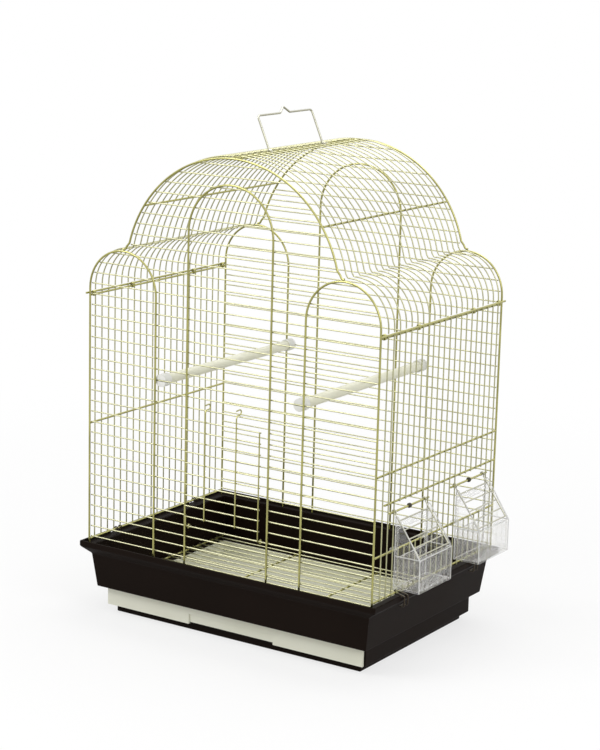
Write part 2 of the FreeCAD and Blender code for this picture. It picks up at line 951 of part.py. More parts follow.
def floor_grille():
    """Lift-out grille: cross bars on the base's floor under close wires."""
    half_length, half_depth = size("grille_length") / 2, size("grille_depth") / 2
    floor = size("skirt_height") + size("shell_wall")
    bar_z = floor + size("frame_wire") / 2 + size("weld_gap")
    wire_z = bar_z + stacked("frame_wire", "mesh_wire")
    edge_x = half_length - size("frame_wire") / 2
    parts = []
    for place in (-edge_x, -size("grille_bar_offset"), size("grille_bar_offset"), edge_x):
        start, end = Vector(place, -half_depth, bar_z), Vector(place, half_depth, bar_z)
        parts.append(straight_wire(f"grille_bar_{place:.0f}", start, end, "frame_wire"))
    spaces = int(size("grille_spaces"))
    reach = half_depth - size("mesh_wire") / 2
    for number in range(spaces + 1):
        place = 2 * reach * number / spaces - reach
        start, end = Vector(-half_length, place, wire_z), Vector(half_length, place, wire_z)
        parts.append(straight_wire(f"grille_wire_{number}", start, end, "mesh_wire"))
    return gather("floor_grille", parts)


# Perches


def perch(name, side):
    """Round dowel between its two end caps."""
    rod = doc.addObject("Part::Cylinder", name)
    rod.setExpression("Radius", "Sizes.perch_diameter / 2")
    inner = cap_end() - size("cap_floor") - size("weld_gap")
    rod.Height = 2 * inner
    place = Vector(side * size("perch_offset"), -inner, row_height(size("rows_below_perch_count")))
    rod.Placement = Placement(place, Rotation(Vector(0, 0, 1), Vector(0, 1, 0)))
    return label(rod, name)


def cap_end():
    """Outer face of a cap, just short of the frame's posts."""
    return frame_y() - size("frame_wire") / 2 - size("weld_gap")


def perch_cap(name, side, end):
    """Notched cap that holds the perch's end on a row."""
    turn = Rotation(Vector(0, 0, 1), Vector(0, -end, 0))
    face = Vector(side * size("perch_offset"), end * cap_end(), row_height(size("rows_below_perch_count")))
    outside = doc.addObject("Part::Prism", name + "_outside")
    outside.Polygon = CAP_SIDE_COUNT
    outside.setExpression("Circumradius", "Sizes.cap_diameter / 2")
    outside.setExpression("Height", "Sizes.cap_length")
    outside.Placement = Placement(face, turn)
    bore = doc.addObject("Part::Prism", name + "_bore")
    bore.Polygon = CAP_SIDE_COUNT
    bore.setExpression("Circumradius", "Sizes.cap_bore / 2")
    bore.setExpression("Height", "Sizes.cap_length")
    bore.Placement = Placement(face - Vector(0, end * size("cap_floor"), 0), turn)
    notch = doc.addObject("Part::Box", name + "_notch")
    notch.setExpression("Length", "2 * Sizes.cap_diameter")
    notch.setExpression("Width", "2 * Sizes.cap_notch_depth")
    notch.setExpression("Height", "Sizes.cap_notch")
    half = Vector(size("cap_diameter"), size("cap_notch_depth"), size("cap_notch") / 2)
    notch.Placement = Placement(face - half, Rotation())
    hollow = doc.addObject("Part::Cut", name + "_hollow")
    hollow.Base, hollow.Tool = outside, bore
    cap = doc.addObject("Part::Cut", name)
    cap.Base, cap.Tool = hollow, notch
    return label(cap, name)


# Base clips


def clip_path(side):
    """Clip wire from its eye on the sill over the rim's notch and under the flange."""
    centre = (post_x(), size("sill_height"))
    radius = eye_radius("frame_wire", "clip_wire")
    reach, foot = size("clip_reach"), size("clip_foot")
    low = size("clip_bottom")
    notch = size("clip_notch_floor") + size("clip_wire")
    eye = eye_path(centre, radius, CLIP_EYE_ANGLE, -EYE_SWEEP_ANGLE)
    path = [(foot, low), (reach - size("clip_wire"), low), (reach, low + size("clip_wire"))]
    path += [(reach, notch + size("clip_wire") / 2)] + eye
    return path if side > 0 else mirrored(path)


def base_clip(name, side, end):
    """Double wire clip that holds the cage down on the base."""
    middle = end * size("clip_offset")
    half = size("clip_spread") / 2
    legs = [
        bent_wire(f"{name}_leg_{step + 1}", clip_path(side), "clip_wire", "XZ", middle + step * half)
        for step in (-1, 1)
    ]
    across = side * (size("clip_foot") + size("clip_wire") / 2)
    start = Vector(across, middle - half, size("clip_bottom"))
    end_point = Vector(across, middle + half, size("clip_bottom"))
    legs.append(straight_wire(f"{name}_loop", start, end_point, "clip_wire"))
    return weld(name, legs)


# Carrying handle


def handle_path():
    """Legs, rounded corners and the raised middle of the handle."""
    half, rise = size("handle_spread") / 2, size("handle_rise")
    bend, hump = size("handle_corner"), size("handle_hump_width") / 2
    start = eye_radius("frame_wire", "frame_wire")
    corner = arc_points((half - bend, rise - bend), bend, 0, 90, CORNER_CHORD_COUNT)
    side = [(half, start)] + corner + [(hump, rise), (0, rise + size("handle_hump"))]
    return side + mirrored(side)[-2::-1]


def carry_handle():
    """Bent handle whose two eyes turn on the left ridge bar."""
    pivot = Vector(-size("ridge_offset"), 0, ridge_height())
    path = [(across, up + pivot.z) for across, up in handle_path()]
    parts = [bent_wire("handle_bow", path, "frame_wire", "YZ", pivot.x)]
    middle = eye_radius("frame_wire", "frame_wire")
    half = size("frame_wire") / 2
    for end in (-1, 1):
        centre = pivot + Vector(0, end * size("handle_spread") / 2, 0)
        eye = ring(f"handle_eye_{end + 1}", centre, middle - half, middle + half, 2 * half)
        parts.append(eye)
    handle = weld("carry_handle", parts)
    turn = Rotation(Vector(0, 1, 0), -size("handle_lean_angle"))
    handle.Placement = Placement(Vector(), turn, pivot)
    return handle


# Whole cage


def build_parts():
    """Every sub-part in its own node."""
    parts = [base_tray(), floor_grille(), drawer()]
    parts.append(panel_frame("front_frame", -frame_y()))
    parts += front_rows()
    parts.append(front_door())
    parts.append(panel_frame("back_frame", frame_y()))
    parts.append(row_group("back_rows", -row_y(), range(row_count())))
    openings = [size("wires_to_front_feeder_count"), size("wires_to_rear_feeder_count")]
    for name, side, cut in (("left", -1, []), ("right", 1, openings)):
        parts.append(wall_bars(f"{name}_wall_bars", side))
        parts.append(wall_wires(f"{name}_wall_wires", side, cut))
        parts.append(roof_bars(f"roof_bars_{name}", side))
        parts.append(roof_wires(f"roof_wires_{name}", side))
        parts.append(perch(f"perch_{name}", side))
        for place, end in (("front", -1), ("rear", 1)):
            parts.append(perch_cap(f"perch_cap_{name}_{place}", side, end))
            parts.append(base_clip(f"base_clip_{name}_{place}", side, end))
    parts += feeders()
    parts.append(carry_handle())
    return parts


def check_and_write(parts):
    """Stop at a failed object, then write one file per sub-part."""
    for item in doc.Objects:
        if {"Invalid", "Error"} & set(item.State):
            raise RuntimeError(f"{item.Label} did not build: {item.State}")
    os.makedirs("parts", exist_ok=True)
    for item in parts:
        if item.Shape.isNull() or not item.Shape.isValid():
            raise RuntimeError(f"{item.Label} has no valid shape")
        item.Shape.exportStep(f"parts/{item.Label}.step")
        print(f"{item.Label}: {len(item.Shape.Solids)} solids, {item.Shape.Volume:.0f} mm3")


fill_sheet()
sub_parts = build_parts()
doc.recompute()
check_and_write(sub_parts)
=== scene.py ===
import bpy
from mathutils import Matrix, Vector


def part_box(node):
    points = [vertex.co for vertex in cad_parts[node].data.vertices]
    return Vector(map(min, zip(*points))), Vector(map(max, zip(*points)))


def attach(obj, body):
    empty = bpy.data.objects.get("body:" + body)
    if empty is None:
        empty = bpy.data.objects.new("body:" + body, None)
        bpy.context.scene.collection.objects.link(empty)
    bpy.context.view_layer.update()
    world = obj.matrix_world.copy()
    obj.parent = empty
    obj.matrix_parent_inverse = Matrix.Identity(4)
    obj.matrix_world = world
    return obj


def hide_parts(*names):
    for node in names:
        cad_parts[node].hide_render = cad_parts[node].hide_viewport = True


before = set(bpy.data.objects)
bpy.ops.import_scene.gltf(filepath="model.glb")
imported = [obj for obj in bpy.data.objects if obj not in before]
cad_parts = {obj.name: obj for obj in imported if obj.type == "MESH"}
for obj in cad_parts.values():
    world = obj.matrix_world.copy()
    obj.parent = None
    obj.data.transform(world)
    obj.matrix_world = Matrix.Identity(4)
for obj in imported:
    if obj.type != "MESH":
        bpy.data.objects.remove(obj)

"""Dressed bird cage: round plated wires, moulded plastic, clear feeders and pale wood.

Lengths are in metres and angles in degrees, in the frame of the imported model. Sizes
are read from the model's boxes where it has them and are named values otherwise.
"""
import logging
import math
from dataclasses import dataclass, field
from enum import Enum, IntEnum

import bmesh
import bpy
from bpy.types import Material, Mesh, Node, NodeTree, Object
from mathutils import Matrix, Vector

LOG = logging.getLogger("bird_cage")
MM = 0.001
ROOT = "cage"
Path = list[Vector]
Points = list[tuple]


class Gauge(float, Enum):
    """Diameters of the drawn wires."""

    FRAME = 2.5 * MM
    MESH = 1.6 * MM


class Facets(IntEnum):
    """Faces round a wire, by how large it shows."""

    SMALL = 8
    USUAL = 10
    LARGE = 12
    LARGEST = 14


class Side(IntEnum):
    """The two sides of the cage, by the sign of X."""

    LEFT = -1
    RIGHT = 1


class End(IntEnum):
    """The two ends of the cage, by the sign of Y."""

    FRONT = -1
    REAR = 1


# Heights of the bars, and the side wires that the feeders stand at

SILL_HEIGHT = 94.0 * MM
BELT_HEIGHT = 240.0 * MM
WALL_TOP = 397.6 * MM
EAVE_HEIGHT = 400.2 * MM
PURLIN_HEIGHT = 513.0 * MM
FEEDER_BAR = 204.0 * MM
FEEDER_SILL = 146.0 * MM
FEEDER_WIRES = (6, 17)

# Welds, bends and eyes of the wires

WELD_SIZE = 1.1 * Gauge.MESH
WELD_SEED = 7
BEND_SHARE = 1.2
BEND_POINTS = 3
EYE_TURN = 300.0
EYE_STEPS = 20

# Merging of a node's faces, the angles that count as flat and as an edge, and an edge's rounding

MERGE_DISTANCE = 0.005 * MM
FLAT_ANGLE = 0.5
EDGE_ANGLE = 25.0
EDGE_STEPS = 3

# Numbered sockets of the colour mix and the random value nodes

MIX_FACTOR, MIX_FIRST, MIX_SECOND, MIX_RESULT = 0, 6, 7, 2
RANDOM_LOW, RANDOM_HIGH, RANDOM_VALUE = 2, 3, 1


def box_middle(node: str) -> Vector:
    """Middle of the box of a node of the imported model."""
    low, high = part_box(node)
    return (low + high) / 2


def word(option: Enum) -> str:
    """Name of a side or an end, as the model's names have it."""
    return option.name.lower()


@dataclass(frozen=True)
class CageSizes:
    """Sizes of the cage that several sub-assemblies share."""

    post_x: float
    frame_y: float
    foot_z: float
    row_y: float
    first_row: float
    row_pitch: float
    mesh_x: float
    wire_pitch: float
    inner_post: float = 104.8 * MM
    centre_post: float = 58.7 * MM
    row_count: int = 37
    lower_rows: int = 4
    door_rows: int = 10
    side_spaces: int = 22
    shoulder_spring: float = 406.5 * MM
    arch_centre: float = 428.7 * MM
    arch_radius: float = 149.2 * MM
    centre_spring: float = 489.0 * MM
    valley_run: float = 3.6 * MM
    valley_rise: float = 4.2 * MM
    ridge_offset: float = 4.5 * MM
    weld_gap: float = 0.05 * MM
    running_gap: float = 0.4 * MM

    @classmethod
    def from_frame(cls) -> "CageSizes":
        """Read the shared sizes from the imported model.

        Returns:
            The sizes of this model.
        """
        low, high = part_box("front_frame")
        few, all_rows = box_middle("front_rows_lower"), box_middle("back_rows")
        steps_apart = (cls.row_count - cls.lower_rows) / 2
        row_pitch = (all_rows.z - few.z) / steps_apart
        frame_y = -box_middle("front_frame").y
        return cls(
            post_x=high.x - Gauge.FRAME / 2,
            frame_y=frame_y,
            foot_z=low.z,
            row_y=few.y,
            first_row=few.z - row_pitch * (cls.lower_rows - 1) / 2,
            row_pitch=row_pitch,
            mesh_x=box_middle("right_wall_wires").x,
            wire_pitch=2 * frame_y / cls.side_spaces,
        )

    @property
    def shoulder_x(self) -> float:
        """Middle of a shoulder arch."""
        return (self.post_x + self.inner_post) / 2

    @property
    def shoulder_radius(self) -> float:
        """Radius of a shoulder arch."""
        return self.post_x - self.shoulder_x

    @property
    def ridge_z(self) -> float:
        """Height of the ridge bars."""
        return self.arch_centre + math.sqrt(self.arch_radius**2 - self.ridge_offset**2)

    @property
    def upper_row(self) -> int:
        """First row above the doorway."""
        return self.lower_rows + self.door_rows

    def row_z(self, number: int) -> float:
        """Height of a row, counted from the lowest."""
        return self.first_row + self.row_pitch * number

    def wire_y(self, number: float) -> float:
        """Place of a side wire, counted from the front frame."""
        return self.wire_pitch * (number - self.side_spaces / 2)

    def arch_x(self, height: float, offset: float = 0) -> float:
        """Half width of the main arch at a height."""
        return math.sqrt((self.arch_radius + offset) ** 2 - (height - self.arch_centre) ** 2)

    def row_reach(self, height: float) -> float:
        """Half length of a row under the roof's outline.

        Args:
            height: Height of the row.

        Returns:
            Distance from the middle to the row's end.
        """
        rise = height - self.shoulder_spring
        if rise <= 0:
            reach = self.post_x
        elif rise < self.shoulder_radius:
            reach = self.shoulder_x + math.sqrt(self.shoulder_radius**2 - rise**2)
        else:
            reach = self.arch_x(height)
        return reach - Gauge.FRAME / 2 - self.weld_gap

    def valley(self, offset: float) -> tuple[Points, float]:
        """Bend of a wire from the top of a shoulder up onto the main arch.

        Args:
            offset: Distance of the wire's middle above the shoulder's middle line.

        Returns:
            Points of the bend, and the height where the arch starts.
        """
        low = self.shoulder_spring + self.shoulder_radius + offset
        start = low + 2 * self.valley_rise
        across = self.arch_x(start, offset) + offset / 2
        return [(self.shoulder_x - self.valley_run, low), (across, low + self.valley_rise)], start


# Paths


def arc(centre: tuple, radius: float, start: float, end: float, steps: int) -> Points:
    """Points of an arc in a plane.

    Args:
        centre: Middle of the arc, across and up.
        radius: Radius in metres.
        start: First angle.
        end: Last angle.
        steps: Number of equal steps.

    Returns:
        Points as (across, up).
    """
    angles = [math.radians(start + (end - start) * step / steps) for step in range(steps + 1)]
    return [
        (centre[0] + radius * math.cos(angle), centre[1] + radius * math.sin(angle))
        for angle in angles
    ]


def eye(centre: tuple, radius: float, start: float, turn: float = EYE_TURN) -> Points:
    """Eye at the end of a wire, from an angle on round by a turn."""
    return arc(centre, radius, start, start + turn, EYE_STEPS)


def flip(points: Points) -> Points:
    """The same points on the other side of the middle."""
    return [(-across, up) for across, up in points]


def in_xz(points: Points, y: float) -> Path:
    """Plane points stood up across the cage at a place along Y."""
    return [Vector((across, y, up)) for across, up in points]


def in_yz(points: Points, x: float) -> Path:
    """Plane points stood up along the cage at a place along X."""
    return [Vector((x, across, up)) for across, up in points]


def line(start: tuple, end: tuple) -> Path:
    """Straight path between two points."""
    return [Vector(start), Vector(end)]


def along(x: float, z: float, start: float, end: float) -> Path:
    """Straight path along the cage."""
    return line((x, start, z), (x, end, z))


# Node trees


class Nodes:
    """Short way to build a node tree."""

    def __init__(self, tree: NodeTree):
        """Keep the tree that is built."""
        self.tree = tree

    def add(self, kind: str, **values) -> Node:
        """Add a node and set its properties and sockets.

        Args:
            kind: Node type name.
            **values: Properties, or sockets named with underscores for spaces.

        Returns:
            The new node.
        """
        node = self.tree.nodes.new(kind)
        for name, value in values.items():
            if hasattr(node, name) and name not in node.inputs:
                setattr(node, name, value)
            else:
                node.inputs[name.replace("_", " ")].default_value = value
        return node

    def times(self, factor: float) -> Node:
        """Add a node that multiplies its first input.

        Args:
            factor: The second input, until it is linked.

        Returns:
            The new node.
        """
        node = self.add("ShaderNodeMath", operation="MULTIPLY")
        node.inputs[1].default_value = factor
        return node

    def chain(self, *steps) -> None:
        """Link nodes one after another.

        Args:
            *steps: Node, its output, the next node's input, the next node, and so on.
        """
        for first in range(0, len(steps) - 1, 3):
            source, output, entry, target = steps[first : first + 4]
            self.tree.links.new(source.outputs[output], target.inputs[entry])


class Group(Nodes):
    """Node group under construction, with named inputs and outputs."""

    sockets = {tuple: "NodeSocketColor", float: "NodeSocketFloat", int: "NodeSocketInt"}

    def __init__(self, name: str, kind: str, inputs: dict, outputs: dict):
        """Start the group.

        Args:
            name: Name of the group.
            kind: Type of the group.
            inputs: Names and defaults of the inputs, or their socket types.
            outputs: Names and socket types of the outputs.
        """
        super().__init__(bpy.data.node_groups.new(name, kind))
        face = self.tree.interface
        for label, value in inputs.items():
            typed = value if isinstance(value, str) else self.sockets[type(value)]
            socket = face.new_socket(name=label, in_out="INPUT", socket_type=typed)
            if typed != value:
                socket.default_value = value
        for label, typed in outputs.items():
            face.new_socket(name=label, in_out="OUTPUT", socket_type=typed)
        self.given = self.add("NodeGroupInput")
        self.made = self.add("NodeGroupOutput")


# Finishes


def variation_group() -> NodeTree:
    """Group that drifts between two colours and two roughnesses.

    Returns:
        The group.
    """
    colours = {"Colour A": (1, 1, 1, 1), "Colour B": (0, 0, 0, 1)}
    inputs = {**colours, "Scale": 20.0, "Rough A": 0.3, "Rough B": 0.4}
    outputs = {"Colour": "NodeSocketColor", "Roughness": "NodeSocketFloat"}
    group = Group("surface_variation", "ShaderNodeTree", inputs, outputs)
    given, made = group.given, group.made
    place = group.add("ShaderNodeTexCoord")
    noise = group.add("ShaderNodeTexNoise", Detail=4.0)
    ramp = group.add("ShaderNodeMapRange", From_Min=0.35, From_Max=0.65)
    colour = group.add("ShaderNodeMix", data_type="RGBA")
    rough = group.add("ShaderNodeMapRange")
    group.chain(place, "Object", "Vector", noise, "Fac", "Value", ramp, "Result", MIX_FACTOR, colour)
    group.chain(given, "Colour A", MIX_FIRST, colour, MIX_RESULT, "Colour", made)
    group.chain(given, "Colour B", MIX_SECOND, colour)
    group.chain(given, "Scale", "Scale", noise, "Fac", "Value", rough, "Result", "Roughness", made)
    group.chain(given, "Rough A", "To Min", rough)
    group.chain(given, "Rough B", "To Max", rough)
    return group.tree


def grain_group() -> NodeTree:
    """Group that gives a fine moulded or drawn grain as a normal.

    Returns:
        The group.
    """
    inputs = {"Scale": 900.0, "Depth": 0.2}
    group = Group("fine_grain", "ShaderNodeTree", inputs, {"Normal": "NodeSocketVector"})
    place = group.add("ShaderNodeTexCoord")
    noise = group.add("ShaderNodeTexNoise", Detail=3.0, Roughness=0.6)
    bump = group.add("ShaderNodeBump", Distance=0.1 * MM)
    group.chain(place, "Object", "Vector", noise, "Fac", "Height", bump, "Normal", "Normal", group.made)
    group.chain(group.given, "Scale", "Scale", noise)
    group.chain(group.given, "Depth", "Strength", bump)
    return group.tree


def painted_top_light_group() -> NodeTree:
    """Group that lightens faces turned upwards, a painted highlight where the light falls from above, so
    that faces turned down stay darker as painted shade.

    Returns:
        The group.
    """
    inputs = {"Colour": (0, 0, 0, 1), "Tint": (0.3, 0.3, 0.3, 1), "Amount": 0.1, "Lowest": 0.5}
    group = Group("upper_tint", "ShaderNodeTree", inputs, {"Colour": "NodeSocketColor"})
    given, made = group.given, group.made
    shape = group.add("ShaderNodeNewGeometry")
    split = group.add("ShaderNodeSeparateXYZ")
    up = group.add("ShaderNodeMapRange")
    weight = group.times(1.0)
    mix = group.add("ShaderNodeMix", data_type="RGBA")
    # painted highlight: the more a face turns upwards, the more of the light colour it gets
    group.chain(shape, "Normal", "Vector", split, "Z", "Value", up, "Result", 0, weight)
    group.chain(given, "Lowest", "From Min", up)
    group.chain(given, "Amount", 1, weight, "Value", MIX_FACTOR, mix)
    group.chain(given, "Colour", MIX_FIRST, mix, MIX_RESULT, "Colour", made)
    group.chain(given, "Tint", MIX_SECOND, mix)
    return group.tree


@dataclass(frozen=True)
class Finish:
    """A surface finish with two close colours, a fine grain and, where it is set, a painted highlight on
    the faces turned upwards.
    """

    name: str
    colour: tuple
    second: tuple
    roughness: tuple
    slot: str
    metallic: float = 0.0
    pattern_scale: float = 18.0
    grain_scale: float = 900.0
    grain_depth: float = 0.15
    # painted highlight on faces turned upwards: its amount, its colour, and the lowest normal height
    # that gets it
    tint: float = 0.0
    tint_colour: tuple = (0.05, 0.045, 0.04)
    tint_from: float = 0.5
    coat: float = 0.0
    transmission: float = 0.0
    specular: float = 0.5
    refraction: float = 1.45

    def build(self, groups: dict[str, NodeTree]) -> Material:
        """Make the material.

        Args:
            groups: The shared shader groups by name.

        Returns:
            The new material.
        """
        material = bpy.data.materials.new(self.name)
        material.use_nodes = True
        shader = Nodes(material.node_tree)
        surface = material.node_tree.nodes["Principled BSDF"]
        surface.inputs["Metallic"].default_value = self.metallic
        surface.inputs["Transmission Weight"].default_value = self.transmission
        surface.inputs["Coat Weight"].default_value = self.coat
        surface.inputs["Specular IOR Level"].default_value = self.specular
        surface.inputs["IOR"].default_value = self.refraction
        kind, low, high = "ShaderNodeGroup", *self.roughness
        looks = shader.add(kind, node_tree=groups["looks"], Scale=self.pattern_scale)
        looks.inputs["Colour A"].default_value = (*self.colour, 1)
        looks.inputs["Colour B"].default_value = (*self.second, 1)
        looks.inputs["Rough A"].default_value = low
        looks.inputs["Rough B"].default_value = high
        grain = shader.add(kind, node_tree=groups["grain"], Scale=self.grain_scale)
        grain.inputs["Depth"].default_value = self.grain_depth
        coloured = looks
        # paint a highlight on the faces turned upwards over the base colour
        if self.tint:
            coloured = shader.add(kind, node_tree=groups["upper_tint"], Amount=self.tint)
            coloured.inputs["Tint"].default_value = (*self.tint_colour, 1)
            coloured.inputs["Lowest"].default_value = self.tint_from
            shader.chain(looks, "Colour", "Colour", coloured)
        shader.chain(coloured, "Colour", "Base Color", surface)
        shader.chain(looks, "Roughness", "Roughness", surface)
        shader.chain(grain, "Normal", "Normal", surface)
        self.dress(shader, surface, coloured)
        return material

    def dress(self, shader: Nodes, surface: Node, coloured: Node) -> None:
        """Add what only one kind of finish has; a plain one has nothing more."""


@dataclass(frozen=True)
class WireFinish(Finish):
    """Bright pale plating, with a painted highlight on the faces turned upwards and painted shade on
    those turned down.
    """

    slot: str = "plated_wire"
    metallic: float = 1.0
    pattern_scale: float = 35.0
    grain_scale: float = 1400.0
    grain_depth: float = 0.06
    # painted highlight and shade, graded from faces turned straight down to faces turned straight up
    tint: float = 0.85
    tint_from: float = -1.0


@dataclass(frozen=True)
class WoodFinish(Finish):
    """Pale dowel with grain lines along its length."""

    ring_scale: float = 60.0
    stretch: tuple = (1.0, 0.06, 1.0)
    line_strength: float = 0.35
    line_shade: float = 0.8

    def dress(self, shader: Nodes, surface: Node, coloured: Node) -> None:
        """Draw the grain lines over the base colour.

        Args:
            shader: The material's node tree.
            surface: Its surface node.
            coloured: Node that gives the base colour.
        """
        place = shader.add("ShaderNodeTexCoord")
        stretch = shader.add("ShaderNodeMapping", Scale=self.stretch)
        wave = shader.add(
            "ShaderNodeTexWave", Scale=self.ring_scale, Distortion=6.0, Detail=3.0, Detail_Scale=2.0
        )
        mix = shader.add("ShaderNodeMix", data_type="RGBA")
        mix.inputs[MIX_SECOND].default_value = (*(self.line_shade * part for part in self.second), 1)
        soften = shader.times(self.line_strength)
        shader.chain(place, "Object", "Vector", stretch, "Vector", "Vector", wave, "Fac", 0, soften)
        shader.chain(soften, "Value", MIX_FACTOR, mix, MIX_RESULT, "Base Color", surface)
        shader.chain(coloured, "Colour", MIX_FIRST, mix)


@dataclass(frozen=True)
class ClearFinish(Finish):
    """Clear plastic, nearly invisible face on, with a painted pale sheen where it is seen at a grazing
    angle.
    """

    face_alpha: float = 0.12
    # opacity at grazing angles, which paints the pale sheen
    grazing_sheen_alpha: float = 0.55
    blend: float = 0.2

    def dress(self, shader: Nodes, surface: Node, coloured: Node) -> None:
        """Let the light through, and paint a pale sheen by making the surface more opaque where it is
        seen at a grazing angle.

        Args:
            shader: The material's node tree.
            surface: Its surface node.
            coloured: Node that gives the base colour, which stays as it is.
        """
        # painted sheen: opacity rises from face on towards grazing angles
        grazing = shader.add("ShaderNodeLayerWeight", Blend=self.blend)
        veil = shader.add("ShaderNodeMapRange", To_Min=self.face_alpha, To_Max=self.grazing_sheen_alpha)
        shader.chain(grazing, "Facing", "Value", veil, "Result", "Alpha", surface)


# Name, colour, second colour, range of roughness and slot, and what differs from the usual

FINISHES = (
    # The light top colour of each wire finish is a painted highlight on its faces turned upwards.
    WireFinish(
        "plated_wire", (0.30, 0.295, 0.115), (0.15, 0.147, 0.052), (0.22, 0.36),
        tint_colour=(0.72, 0.705, 0.48),
    ),
    # darker copy of the same plating, painted shade on the thick bars, frames and door uprights, with a
    # painted highlight on top
    WireFinish(
        "bar_wire", (0.31, 0.295, 0.075), (0.14, 0.132, 0.026), (0.20, 0.34), pattern_scale=30.0,
        tint=0.75, tint_colour=(0.78, 0.75, 0.36), tint_from=-0.6,
    ),
    WireFinish(
        "pale_wire", (0.33, 0.325, 0.21), (0.17, 0.165, 0.105), (0.22, 0.34),
        tint_colour=(0.74, 0.73, 0.62),
    ),
    WireFinish(
        "weld_metal", (0.17, 0.16, 0.035), (0.09, 0.085, 0.018), (0.30, 0.45), pattern_scale=120.0,
        grain_scale=1800.0, grain_depth=0.12, tint=0.35, tint_colour=(0.60, 0.57, 0.30), tint_from=0.0,
    ),
    # dark lacquered clip wire, with a pale painted highlight on its faces turned upwards
    WireFinish(
        "clip_wire", (0.055, 0.040, 0.022), (0.030, 0.022, 0.013), (0.30, 0.45), metallic=0.6,
        pattern_scale=60.0, grain_depth=0.10, tint=0.45, tint_colour=(0.62, 0.58, 0.48), tint_from=0.5,
    ),
    # near-black plastic, with a slight painted sheen on its faces turned upwards
    Finish(
        "base_plastic", (0.0066, 0.0036, 0.0021), (0.0088, 0.0050, 0.0032), (0.42, 0.55), "base_plastic",
        pattern_scale=9.0, grain_scale=1600.0, grain_depth=0.25, tint=0.08, specular=0.05,
    ),
    Finish(
        "drawer_plastic", (0.78, 0.78, 0.66), (0.73, 0.73, 0.60), (0.38, 0.50), "drawer_plastic",
        pattern_scale=7.0, grain_scale=1300.0,
    ),
    Finish(
        "cap_plastic", (0.82, 0.82, 0.78), (0.76, 0.76, 0.71), (0.32, 0.42), "cap_plastic",
        pattern_scale=40.0, grain_depth=0.10,
    ),
    WoodFinish(
        "perch_wood", (0.90, 0.895, 0.75), (0.84, 0.83, 0.67), (0.50, 0.62), "perch_wood",
        pattern_scale=25.0, grain_scale=700.0, grain_depth=0.30,
    ),
    ClearFinish(
        "clear_plastic", (0.86, 0.85, 0.83), (0.82, 0.81, 0.79), (0.01, 0.03), "clear_plastic",
        pattern_scale=12.0, grain_scale=260.0, grain_depth=0.01, transmission=0.80, refraction=1.30,
    ),
    # paler, more opaque copy of the clear plastic, a painted highlight on the cup's edges
    ClearFinish(
        "clear_edge_highlight", (0.86, 0.86, 0.84), (0.78, 0.78, 0.76), (0.12, 0.20), "clear_plastic",
        pattern_scale=60.0, grain_depth=0.05, face_alpha=0.55, grazing_sheen_alpha=0.80,
    ),
    Finish(
        "bead_plastic", (0.040, 0.034, 0.008), (0.022, 0.018, 0.004), (0.18, 0.25), "bead_plastic",
        pattern_scale=90.0, grain_depth=0.05, coat=0.1, specular=0.3,
    ),
)


# Geometry node trees


class Tree(Group):
    """Geometry node tree under construction, with a named material."""

    def __init__(self, name: str, inputs: dict):
        """Start the tree.

        Args:
            name: Name of the tree.
            inputs: Names and defaults of its sizes.
        """
        shape = {"Geometry": "NodeSocketGeometry"}
        whole = {**shape, **inputs, "Material": "NodeSocketMaterial"}
        super().__init__(name, "GeometryNodeTree", whole, shape)

    def finish(self, last: Node, output: str) -> NodeTree:
        """Realize the instances, set the material and close the tree.

        Args:
            last: Node that gives the shape.
            output: Name of the socket it comes from.

        Returns:
            The finished tree.
        """
        real = self.add("GeometryNodeRealizeInstances")
        paint = self.add("GeometryNodeSetMaterial")
        self.chain(last, output, 0, real, 0, "Geometry", paint, "Geometry", "Geometry", self.made)
        self.chain(self.given, "Material", "Material", paint)
        return self.tree


def wire_tree() -> NodeTree:
    """Tree that draws every edge path as round wire with smooth bends.

    Returns:
        The tree.
    """
    sizes = {"Diameter": Gauge.MESH.value, "Bend": Gauge.FRAME.value, "Sides": Facets.USUAL.value}
    tree = Tree("round_wires", sizes)
    given = tree.given
    curve = tree.add("GeometryNodeMeshToCurve")
    bend = tree.add("GeometryNodeFilletCurve", mode="POLY", Limit_Radius=True, Count=BEND_POINTS)
    circle = tree.add("GeometryNodeCurvePrimitiveCircle")
    radius = tree.times(0.5)
    sweep = tree.add("GeometryNodeCurveToMesh", Fill_Caps=True)
    smooth = tree.add("GeometryNodeSetShadeSmooth")
    tree.chain(given, "Geometry", "Mesh", curve, "Curve", "Curve", bend, "Curve", "Curve", sweep)
    tree.chain(given, "Bend", "Radius", bend)
    tree.chain(given, "Diameter", 0, radius, "Value", "Radius", circle)
    tree.chain(given, "Sides", "Resolution", circle, "Curve", "Profile Curve", sweep)
    tree.chain(sweep, "Mesh", "Geometry", smooth)
    return tree.finish(smooth, "Geometry")


def weld_tree(smallest: float = 0.85) -> NodeTree:
    """Tree that puts a small weld on every point.

    Args:
        smallest: Size of the smallest weld, as a share of the full size.

    Returns:
        The tree.
    """
    tree = Tree("spot_welds", {"Size": Gauge.MESH.value, "Seed": WELD_SEED})
    ball = tree.add("GeometryNodeMeshIcoSphere", Subdivisions=2)
    spots = tree.add("GeometryNodeInstanceOnPoints")
    chance = tree.add("FunctionNodeRandomValue", data_type="FLOAT")
    chance.inputs[RANDOM_LOW].default_value = smallest
    chance.inputs[RANDOM_HIGH].default_value = 1.0
    half = tree.times(0.5)
    smooth = tree.add("GeometryNodeSetShadeSmooth")
    tree.chain(tree.given, "Size", 0, half, "Value", "Radius", ball, "Mesh", "Geometry", smooth)
    tree.chain(tree.given, "Geometry", "Points", spots)
    tree.chain(smooth, "Geometry", "Instance", spots)
    tree.chain(tree.given, "Seed", "Seed", chance, RANDOM_VALUE, "Scale", spots)
    return tree.finish(spots, "Instances")


